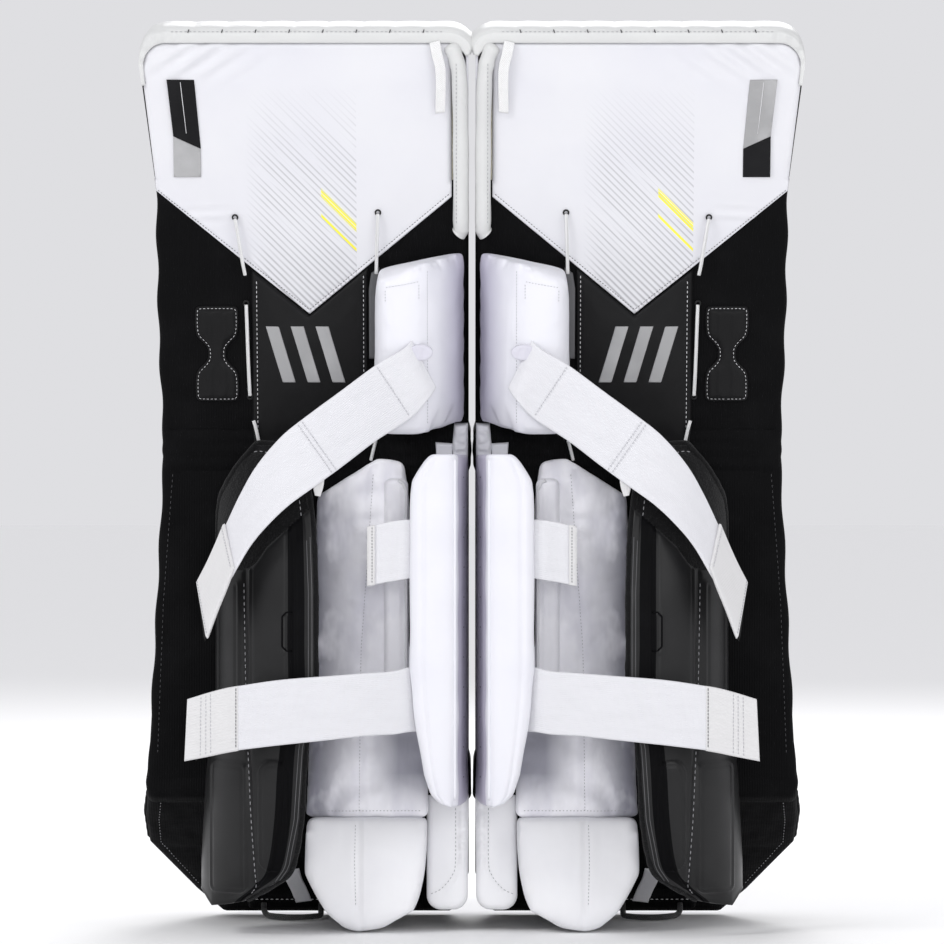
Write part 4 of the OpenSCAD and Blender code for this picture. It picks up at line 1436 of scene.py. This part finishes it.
def make_ankle_pad():
    points, faces = mesh_arrays(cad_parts["right_ankle_cover"].data)
    centre = (points.min(axis=0) + points.max(axis=0)) / 2
    size = points.max(axis=0) - points.min(axis=0)
    start = centre + (points - centre) * (1 - np.array([5.0, 5.0, 1.5]) / size)
    points, faces, uv = inflated((start, faces, np.zeros((len(points), 2))), voxel=5, pressure=4, cap=4.0)
    x, y, z = points.T
    seam = np.array([(95.4, 99), (96, 60), (95, 20), (93, 3)])
    flat = points[:, [0, 2]]
    behind = step(-8, -20, y - BACK_Y)
    sink = 2.2 * groove(distance(flat, seam), 1.8)
    puff = 0.6 * ripple(x, z, 24, 51) + 0.3 * ripple(x * 2, z, 12, 52)
    points = points - np.stack([0 * x, behind * (puff - sink), 0 * x], axis=1)
    points[:, 2] += np.minimum(9, 0.13 * np.abs(x - 95)) * (1 - step(0, 34, z))
    points[:, 2] = np.maximum(points[:, 2], 0.2)
    pad = (points, faces, uv)
    pair("ankle_pad", pad, ankle_lit_white, "shin", "smooth_white", ["ankle_cover"])
    skin = Surface(pad)
    rows = [skin.seam(shin, [(98.4, 92), (99, 60), (98, 22)], lift=0.1, start=-120)]
    stitched("ankle_stitches", rows, grey_thread, "shin", "smooth_white", length=1.6, gap=1.4, radius=0.28)


# ---- wings ----

WING_CREST = ((112, 115, 122, 139, 171, 200, 226, 372, 382, 390, 398, 404),
              (19, 27, 34, 39.5, 45, 48.5, 51, 50.5, 49.5, 45, 39.5, 34))  # how far the crest reaches at each height


def make_inner_wing():
    """A padded leather wing that stands on the pad's inner edge and curls over towards the calf."""
    around = 110  # points round the wing's section
    profile = through([
        (3.2, -4.4), (3.8, -24), (5.0, -55), (8.4, -84), (11.4, -97), (13.4, -103.4), (18.5, -107.6), (27, -109.4),
        (36, -109.6), (44.5, -108.2), (49.8, -104.6), (50.4, -100.2), (46.5, -97.4), (39, -96.6), (31, -94.6),
        (26.5, -88), (23, -70), (19.4, -46), (17.2, -22), (16, -4.4)], around)
    tangent = np.gradient(profile, axis=0)
    inward = unit(np.stack([-tangent[:, 1], tangent[:, 0]], axis=1))
    if ((profile + inward) - profile.mean(axis=0)).std() > ((profile - inward) - profile.mean(axis=0)).std():
        inward = -inward
    bottom, top = 112, KNEE_Z - 4
    sections = []
    for z in stations(bottom, top, 3.0, (0.3, 0.9, 1.9, 3.2)):
        from_end = min(z - bottom, top - z)
        limit = float(np.interp(z, *WING_CREST))
        x, y = profile.T
        crest = step(-84, -96, y)
        narrow = np.where(x > 16, 16 + (x - 16) * (limit - 16) / 34, x)
        x = x * (1 - crest) + narrow * crest
        round_off = 2.6 * (1 - float(dome(from_end, 3.0)))
        ring = np.stack([x, y], axis=1) + inward * round_off
        puff = 0.5 * ripple(np.arange(around) * 0.9, np.full(around, z), 21, 61) + 0.25 * np.sin(z / 9.0) * crest
        dip = 1.1 * groove(np.arange(around) - 49, 1.3)
        ring = ring - inward * ((puff * 0.8 - dip) * float(step(0, 8, from_end)))[:, None]
        ring[:, 1] = np.minimum(ring[:, 1], HINGE_Y)
        sections.append(shin(ring[:, 0], ring[:, 1], np.full(len(ring), z)))
    wing = sweep(sections)
    outside = 24  # the points of each ring up to here are on the wall beside the other pad
    # painted shade: the wall faces get the lilac-grey leather
    shaded = [int(len(f) == 4 and max(i % around for i in f) < outside) for f in wing[1]]
    pair("inner_wing_pad", wing, [smooth_white, shade_painted_leather], "inner_wing", "smooth_white", ["inner_wing"],
         picks=shaded)
    skin = Surface(wing)
    rows = [skin.under([(-30.0, BACK_Y - 60.0, z) for z in np.arange(128, 394, 3.0)], (1.0, 0.0, 0.0), -0.1)]
    rim = skin.under([(14.2, BACK_Y - 150, z) for z in np.arange(118, top - 2, 3.0)], (0.0, 1.0, 0.0), 0.3)
    pair("wing_rim", tube(rim, 1.3, 10), smooth_white, "inner_wing", "smooth_white")
    stitched("wing_stitches", rows, grey_thread, "inner_wing", "smooth_white", length=1.8, gap=1.8, radius=0.27)
    dots = []
    for z in np.arange(135, top - 12, 25.0):
        side = skin.under([(-30.0, BACK_Y - 72.0, z), (-30.0, BACK_Y - 75.0, z)], (1.0, 0.0, 0.0), -0.5)
        if len(side) == 2:
            dots.append(tube(side, 0.8, 8))
    pair("wing_ties", joined(*dots), dark_thread, "inner_wing", "smooth_white")


WING_RINGS = np.array([
    (20, 190, 50, 0), (34, 168, 30, 0), (60, 150, 15, 0), (100, 142, 5, 0), (160, 138, 1, 0), (200, 130, 0, 0),
    (245, 130, 0, 0), (290, 130, 0, 0), (340, 132, 8, 4), (365, 135, 14.5, 14), (380, 138, 20, 28), (392, 143, 27, 39),
    (403, 150, 36, 52), (410, 160, 45, 66), (413, 168, 50, 75)], float)
SHELL_T = 6.0
LINING_T = 8.0
WING_REACH = 100.0
WING_FOOT, WING_HEAD = 20, 413
WING_ROUND = 110  # millimetres round the wing, from its seam to its free edge
WING_EDGE = ((60, 130, 165, 200, 413), (230.5, 227, 223.5, 219, 217.5))  # the outer edge at each height


def wing_surface(z, share, inset):
    """Points of the outer wing: quarter ellipses from the hinge seam, share 0, to the free edge, 1."""
    rings = through(WING_RINGS, 300)
    ex, recess, begin = (np.interp(z, rings[:, 0], rings[:, k])[:, None] for k in (1, 2, 3))
    angle = np.radians(begin + (90 - begin) * np.asarray(share)[None, :])
    rx = np.interp(z, *WING_EDGE)[:, None] - ex - inset
    ry = WING_REACH - recess + HINGE_Y - inset
    x = ex + rx * np.cos(angle)
    lift = np.interp(x, (150, 174, 205, 220, 229), (15, 12, 6, 4, 16)) * (1 - step(20, 60, z))[:, None]
    return np.stack(np.broadcast_arrays(x, HINGE_Y - ry * np.sin(angle), z[:, None] + lift), axis=-1)


SEAM_LINE = ((20, 205), (40, 180), (100, 184), (200, 188.5), (300, 190.5), (349, 189), (413, 184))
FREE_LINE = tuple((z, ex) for z, ex in WING_RINGS[:, :2])


def line_x(z, line):
    return np.interp(z, [p[0] for p in line], [p[1] for p in line])


def panel_frame(x, z, x0, x1, z0, z1, depth, width=2.2, radius=9.0):
    """A raised field with a rounded outline: 0 outside, depth inside, with a rim."""
    qx = np.abs(x - (x0 + x1) / 2) - ((x1 - x0) / 2 - radius)
    qz = np.abs(z - (z0 + z1) / 2) - ((z1 - z0) / 2 - radius)
    gap = np.hypot(np.maximum(qx, 0), np.maximum(qz, 0)) + np.minimum(np.maximum(qx, qz), 0) - radius
    return depth * (1 - step(-width, 0, gap)), gap


def diagonal(x):
    """Top edge of the moulded panel, over the loop fabric."""
    return 308 + (193 - x) * 0.89 * np.clip((193 - x) / 22, 0.25, 1)


def wing_emboss(x, z):
    """Raised fields, ridges and grooves of the moulded panel."""
    seam = line_x(z, SEAM_LINE)
    free = line_x(z, FREE_LINE)
    below = diagonal(x) - z
    moulded_area = step(0, 2.2, below)
    ridge_zone = x - free
    ridges = sum(1.5 * groove(ridge_zone - at, 1.1) for at in (2.6, 5.6, 17.5))
    fields = [panel_frame(x, z, *sides, depth, radius=radius) for sides, depth, radius in (
        ((150, 187, 168, 345), 1.9, 6), ((152, 179, 56, 150), 1.9, 12),
        ((193, 217, 158, 300), 1.5, 5), ((187, 222, 36, 148), 1.5, 7))]
    rims = sum(-0.8 * groove(gap + 4.0, 0.9) for _, gap in fields)
    _, badge = panel_frame(x, z, 151.5, 158.5, 238, 273, 0, radius=3.5)
    raised = sum(field for field, _ in fields) + rims + ridges * (ridge_zone < 19)
    raised = raised + 1.1 * groove(badge + 1.2, 0.8) - 1.4 * groove(x - seam, 1.4)
    return moulded_area * (1.0 + 1.2 * raised) + (1 - moulded_area) * 0.25 * ripple(x, z, 3.0, 71)


WING_BLEND = ("shin", "outer_wing", (0, BACK_Y + HINGE_Y, 200), (0, BACK_Y + HINGE_Y - 15, 200))


def make_outer_wing():
    """The moulded shell with its loop fabric, its binding and its padded lining."""
    z = stations(WING_FOOT, WING_HEAD, 1.9, (0.5, 1.3, 2.6))
    share = np.concatenate([np.linspace(0, 0.10, 5)[:-1], np.linspace(0.10, 1, 84)])
    outer = wing_surface(z, share, 0)
    n = normals(outer)
    if n[len(z) // 2, -2][1] > 0:
        n = -n
    x, height = outer[..., 0], outer[..., 2]
    to_end = np.minimum(z - WING_FOOT, WING_HEAD - z)[:, None]
    rim = np.minimum((1 - share[None, :]) * WING_ROUND, to_end)
    outer = outer + n * ((wing_emboss(x, height) - 1.9) * step(0, 3, rim) - 1.2 * (1 - dome(rim, 2)))[..., None]
    inner = wing_surface(z, share, SHELL_T - 0.4)
    uv = np.stack([x, height], axis=-1) * MM
    lift = np.array([0, BACK_Y, 0])
    shell = slab(outer + lift, inner + lift, uv)
    middle = np.array([shell[2][list(f)].mean(axis=0) for f in shell[1]]) / MM
    fabric = middle[:, 1] > diagonal(middle[:, 0])
    from_edge = (1 - share[np.arange(len(middle)) % (len(share) - 1)]) * WING_ROUND
    # painted shade: a darker, duller band beside the free edge's ridges
    dark = (from_edge > 8) & (from_edge < 19)
    pair("outer_wing_panel", shell, [black_moulded, black_loops, dark_moulded], "outer_wing", "black_moulded",
         ["outer_wing_shell"], picks=np.where(fabric, 1, np.where(dark, 2, 0)), blend=WING_BLEND)
    border = wing_surface(z, np.linspace(0, 1, 40), SHELL_T / 2)
    path = np.concatenate([border[2:-1, -1], border[-1, ::-1][1:], border[-2:len(z) * 3 // 4:-3, 0]])
    path = even(through(even(path, 9.0), 420), 1.6)
    along = np.arange(len(path)) * 1.6
    pair("wing_binding", tube(path + lift, 2.9 + 0.35 * ripple(along, 0 * along, 7, 73), 12), black_loops,
         "outer_wing", "black_moulded", blend=WING_BLEND)
    skin = Surface(shell)
    seam = [(line_x(v, SEAM_LINE), v) for v in np.linspace(36, 300, 40)]
    arc_row = [(line_x(v, FREE_LINE) + 8.5, v) for v in np.linspace(352, 400, 20)]
    arc_row += [(178, 407), (190, 402), (203, 392), (212, 380), (217, 366)]
    rows = [skin.seam(shin, seam, lift=0.1), skin.seam(shin, through(arc_row, 80), lift=0.2)]
    # painted highlights: thin grey lines along two ridges, where light catches them
    lines = [skin.seam(shin, [(line_x(v, FREE_LINE) + at, v) for v in np.linspace(48, 338 - at, 60)], lift=0.15)
             for at in (2.6, 5.6)]
    d_shape = [(149.5, 273), (154, 273), (157.5, 269.5), (157.5, 244.5), (154, 241), (149.5, 241)]
    pair("wing_badge", tube(skin.seam(shin, d_shape, lift=0.1, spacing=1.0), 0.8, 8), dark_moulded, "outer_wing",
         "black_moulded")
    pair("wing_ridge_painted_highlights", joined(*[tube(line, 0.34, 6) for line in lines]), stiffener, "outer_wing",
         "black_moulded")
    stitched("wing_panel_stitches", rows, grey_thread, "outer_wing", "black_moulded", length=3.0, gap=2.2, radius=0.4)

    first, last, foot, head = 0.11, 0.985, WING_FOOT + 4, WING_HEAD - 4
    share = np.linspace(first, last, 60)
    z = stations(foot, head, 3.2, (0.5, 1.5, 3.0))
    near, far = wing_surface(z, share, SHELL_T + 0.2), wing_surface(z, share, SHELL_T + LINING_T)
    rim = np.minimum(np.minimum((share - first)[None, :] * WING_ROUND, (last - share)[None, :] * WING_ROUND),
                     np.minimum((z - foot)[:, None], (head - z)[:, None]))
    rows, columns = np.broadcast_arrays(z[:, None], share[None, :])
    rise = dome(rim, 6) * (0.88 + 0.1 * ripple(rows * 0.6, columns * WING_ROUND, 20, 81))
    rise = rise - 0.28 * groove(((rows - 60) % 70) - 35, 2.6) * step(0, 8, rim)
    far = near + (far - near) * rise[..., None]
    lining = slab(near + lift, far + lift, np.stack([columns * 0.11, rows * MM], axis=-1))
    pair("outer_wing_padding", outward(*lining), liner_fabric, "outer_wing", "liner_fabric", ["outer_wing_lining"],
         blend=WING_BLEND)


# ---- boot section ----

def make_boot():

    def nylon_height(x, h, edge):
        return -6 * (1 - dome(edge, 6)) + step(3, 12, edge) * (0.6 + 0.7 * ripple(x, h, 30, 91)
                                                              + 0.6 * ripple(x * 1.5, h, 12, 92))

    back = nylon_back(boot, boot_outline(0.2, -0.5), nylon_height, -2, 14.0, (0.4, 1.2, 2.4, 4))
    pair("boot_back", back, black_nylon, "boot", "face_leather", ["boot_cover"])
    head = -FACE_Y * math.tan(BOOT_LEAN / 2) - 3
    make_face("boot", boot, boot_outline(0, head), lambda x, h: np.where(h > head - 2, FACE_Y - 14, 10.0),
              rise=1.2, reach=40)
    skin = Surface(back)
    edge = skin.seam(boot, [(X_OUT - 18, -12), (X_OUT - 15, -40), (X_OUT - 15, -74), (X_OUT - 46, -142)], lift=0.2)
    stitched("boot_stitches", [edge], grey_thread, "boot", "face_leather", length=1.6, gap=2.6, radius=0.32)
    sling = [((150, -4.5, -112), (164, -4.5, -116)), ((148, -6, -126), (162, -6, -129)),
             ((144, -7.5, -140), (158, -7.5, -143)), ((140, -11, -154), (154, -11, -157))]
    shape, _ = ribbon([(boot(*a), boot(*b)) for a, b in sling], 2.0, count=30)
    pair("toe_webbing", shape, white_elastic, "boot", "face_leather")
    outline = dense(boot_outline(0.6, -8), 2.0)
    outline = outline[(outline[:, 1] < -10) & (outline[:, 0] > 150)]
    piping = boot(outline[:, 0], 8.0, outline[:, 1])
    pair("boot_piping", tube(piping, 2.0 + 0.12 * np.sin(np.arange(len(piping)) * 1.1), 10), binding, "boot",
         "face_leather")


def make_gusset():
    """The stitched white gusset that hangs beside the ankle pad, and the crumpled pieces at the knee."""
    outline = np.array([(2.8, 116), (38.5, 116), (38.5, 40), *arc((26, 30), 12.5, 0, -90, 8),
                        *arc((16, 30), 12.4, -90, -180, 8)])

    def height(x, h, edge):
        strip = step(11.6, 9.0, x) * step(50, 58, h)
        crumple = strip * (1.6 + 1.3 * np.sin(h / 2.1 + 2.5 * ripple(x, h, 9, 101)))
        seam = distance(np.stack([x, h], axis=-1), np.array([(12, 114), (12, 58), (15, 46), (24, 34)]))
        return 6.5 * dome(edge, 7) + crumple * step(1, 4, edge) + 0.6 * ripple(x, h, 22, 102) \
            - 1.2 * groove(seam, 1.3)

    flap_shape = relief(shin, outline, height, -1.5, back=5.5, spacing=2.2, insets=(0.35, 1.1, 2.2, 3.6, 5.2))
    pair("ankle_gusset", flap_shape, ankle_lit_white, "shin", "smooth_white")
    seam = Surface(flap_shape).seam(shin, through([(14, 112), (14, 60), (17, 47), (26, 36), (36, 31)], 50), lift=0.2)
    stitched("gusset_stitches", [seam], grey_thread, "shin", "smooth_white", length=2.0, gap=1.5, radius=0.3)

    def puckered(x, h, edge):
        return 5.5 * dome(edge, 4) + 1.5 * np.sin(h / 1.7 + 3 * ripple(x, h, 8, 103)) * step(1, 4, edge)

    knee = relief(thigh, np.array([(3.4, -11), (16, -11), (17, 4), (15, 24), (3.4, 24)]), puckered, -4.5, back=-1,
                  spacing=1.6, insets=(0.35, 1.0, 1.9, 3.0))
    tag = relief(thigh, np.array([(16.5, -6), (30.5, -5), (31, 8), (16.5, 7)]), lambda x, h, e: 2.6 * dome(e, 1.5),
                 -5.5, back=-1, spacing=2.0, insets=(0.35, 0.9, 1.5))
    pair("knee_gusset", joined(knee, tag), smooth_white, "thigh", "smooth_white")
    lace = through([(81.5, -4.5, 9), (82.6, -8, 6), (84.4, -9.0, -1), (85.8, -8.4, -7)], 24)
    pair("knee_lace", tube(thigh(*lace.T), 1.4, 10), white_lace, "thigh", "white_lace")


def make_toe_bridge():
    outline = np.array([(117, -171), (197, -171), (197, -147), (117, -147)])
    bridge = relief(boot, outline, lambda x, h, e: 8.2 * dome(e, 6) - 1.0 * groove(h + 159, 1.4), -2.5, back=-1.0,
                    spacing=2.4, insets=(0.4, 1.2, 2.4, 4, 5.4))
    pair("toe_bridge_pad", bridge, black_nylon, "boot", "black_nylon", ["toe_bridge"])
    rows = [Surface(bridge).seam(boot, [(120, -152), (194, -152)], lift=0.2, start=-60)]
    stitched("toe_bridge_stitches", rows, white_thread, "boot", "black_nylon", length=2.4, gap=2.0, radius=0.35)


# ---- the bands that cross the breaks ----

def pad_loop(x0, x1, behind=-3.0):
    """A closed loop round a pad's section in (x, y), a little outside its covers."""
    proud = 0.9
    x0, x1, y0, y1 = x0 - proud, x1 + proud, behind - proud, FACE_Y + 1.6 + proud
    f, b = 9.0, 7.0  # the radii of the front and the back corners
    corners = [
        *arc((x0 + b, y0 + b), b, 180, 270, 6), *arc((x1 - b, y0 + b), b, 270, 360, 6),
        *arc((x1 - f, y1 - f), f, 0, 90, 6), *arc((x0 + f, y1 - f), f, 90, 180, 6)]
    return dense(corners, 5.0)


def band(loop, place, reach, steps, pleats):
    """A sleeve of even thickness along s from -reach to reach. place(x, y, s) gives its points."""
    tangent = np.roll(loop, -1, axis=0) - np.roll(loop, 1, axis=0)
    out = unit(np.stack([tangent[:, 1], -tangent[:, 0]], axis=1))
    rows, inner = [], []
    for s in np.linspace(-reach, reach, steps):
        t = s / reach
        pleat = 0.55 * (0.5 - 0.5 * math.cos(2 * math.pi * pleats * (t + 1) / 2)) * (1 - t ** 4)
        swell = 1.1 * (1 - t * t) + pleat - 1.3 * abs(t) ** 5
        noise = 0.25 * ripple(np.arange(len(loop)) * 5.0, np.full(len(loop), s * 3), 20, 95)
        p = loop + out * (swell + noise)[:, None]
        q = loop - out * 1.1
        rows.append(place(p[:, 0], p[:, 1], s))
        inner.append(place(q[:, 0], q[:, 1], s))
    rows, inner = np.array(rows), np.array(inner)
    n, m = len(rows), len(loop)
    run = run_of(loop)
    uv = np.stack([np.tile(run, n), np.repeat(np.linspace(-reach, reach, n), m)], axis=1) * MM
    faces = []
    for i in range(n - 1):
        for k in range(m):
            a, b = i * m + k, i * m + (k + 1) % m
            faces += [(a, b, b + m, a + m), (a + n * m + m, b + n * m + m, b + n * m, a + n * m)]
    for k in range(m):
        a, b = k, (k + 1) % m
        last = (n - 1) * m
        faces += [(b, a, a + n * m, b + n * m), (a + last, b + last, b + last + n * m, a + last + n * m)]
    points = np.concatenate([rows.reshape(-1, 3), inner.reshape(-1, 3)])
    return outward(points, faces, np.concatenate([uv, uv]))


def make_breaks():
    """Pleated bands over the knee and boot breaks."""
    reach = 19.0
    low, high = np.array([0, -reach]), np.array([-reach * math.sin(THIGH_LEAN), reach * math.cos(THIGH_LEAN)])

    def at_knee(x, y, s):
        t = (s / reach + 1) / 2
        line = (1 - t) ** 2 * low + t * t * high
        ahead = unit(-2 * (1 - t) * low + 2 * t * high)
        facing = np.array([ahead[1], -ahead[0]])
        return np.stack([x, BACK_Y + line[0] + y * facing[0], KNEE_Z + line[1] + y * facing[1]], axis=-1)

    loop = pad_loop(X_IN, X_OUT - 22)
    shape = band(loop, at_knee, reach, 25, 3)
    pair("knee_break", shape, [black_nylon, black_leather], "shin", "black_nylon", picks=band_picks(shape, loop),
         blend=("shin", "thigh", (0, 0, KNEE_Z - 16), (0, 0, KNEE_Z + 22)))

    def at_boot(x, y, s):
        rise = y * math.tan(BOOT_LEAN / 2)
        upper = shin(x, y, ANKLE_Z + rise + s)
        lower = boot(x, y, -rise + s)
        w = float(step(-9, 9, s))
        return upper * w + lower * (1 - w)

    loop = pad_loop(X_IN, X_OUT - 8, behind=-2.6)
    shape = band(loop, at_boot, 15.0, 21, 2)
    pair("boot_break", shape, [black_nylon, black_leather], "shin", "black_nylon", picks=band_picks(shape, loop),
         blend=("boot", "shin", (0, 0.04, ANKLE_Z + 3), (0, 0, ANKLE_Z + 22)))


def band_picks(shape, loop):
    """Leather on the band's front, nylon behind."""
    leather_at = loop[:, 1] > 6
    return np.array([int(leather_at[f[0] % len(loop)]) for f in shape[1]])


# ---- the whole model ----

def make_cores():
    """The foam and the stiffening board inside each section."""
    for side in SIDES:
        for name in ("thigh", "shin", "boot"):
            softened(f"{side}_{name}_core", f"{side}_{name}", core_foam, width=2.5, inset=5, side=5)
        for name in ("thigh", "shin"):
            softened(f"{side}_{name}_board", f"{side}_{name}", stiffener, width=1.5, inset=1.5, side=9)


make_camera()
make_toe_cords()
make_studio()
make_cores()
make_thigh()
make_knee_block()
make_straps()
make_shin()
make_liner()
make_ankle_pad()
make_inner_wing()
make_outer_wing()
make_boot()
make_gusset()
make_toe_bridge()
make_breaks()
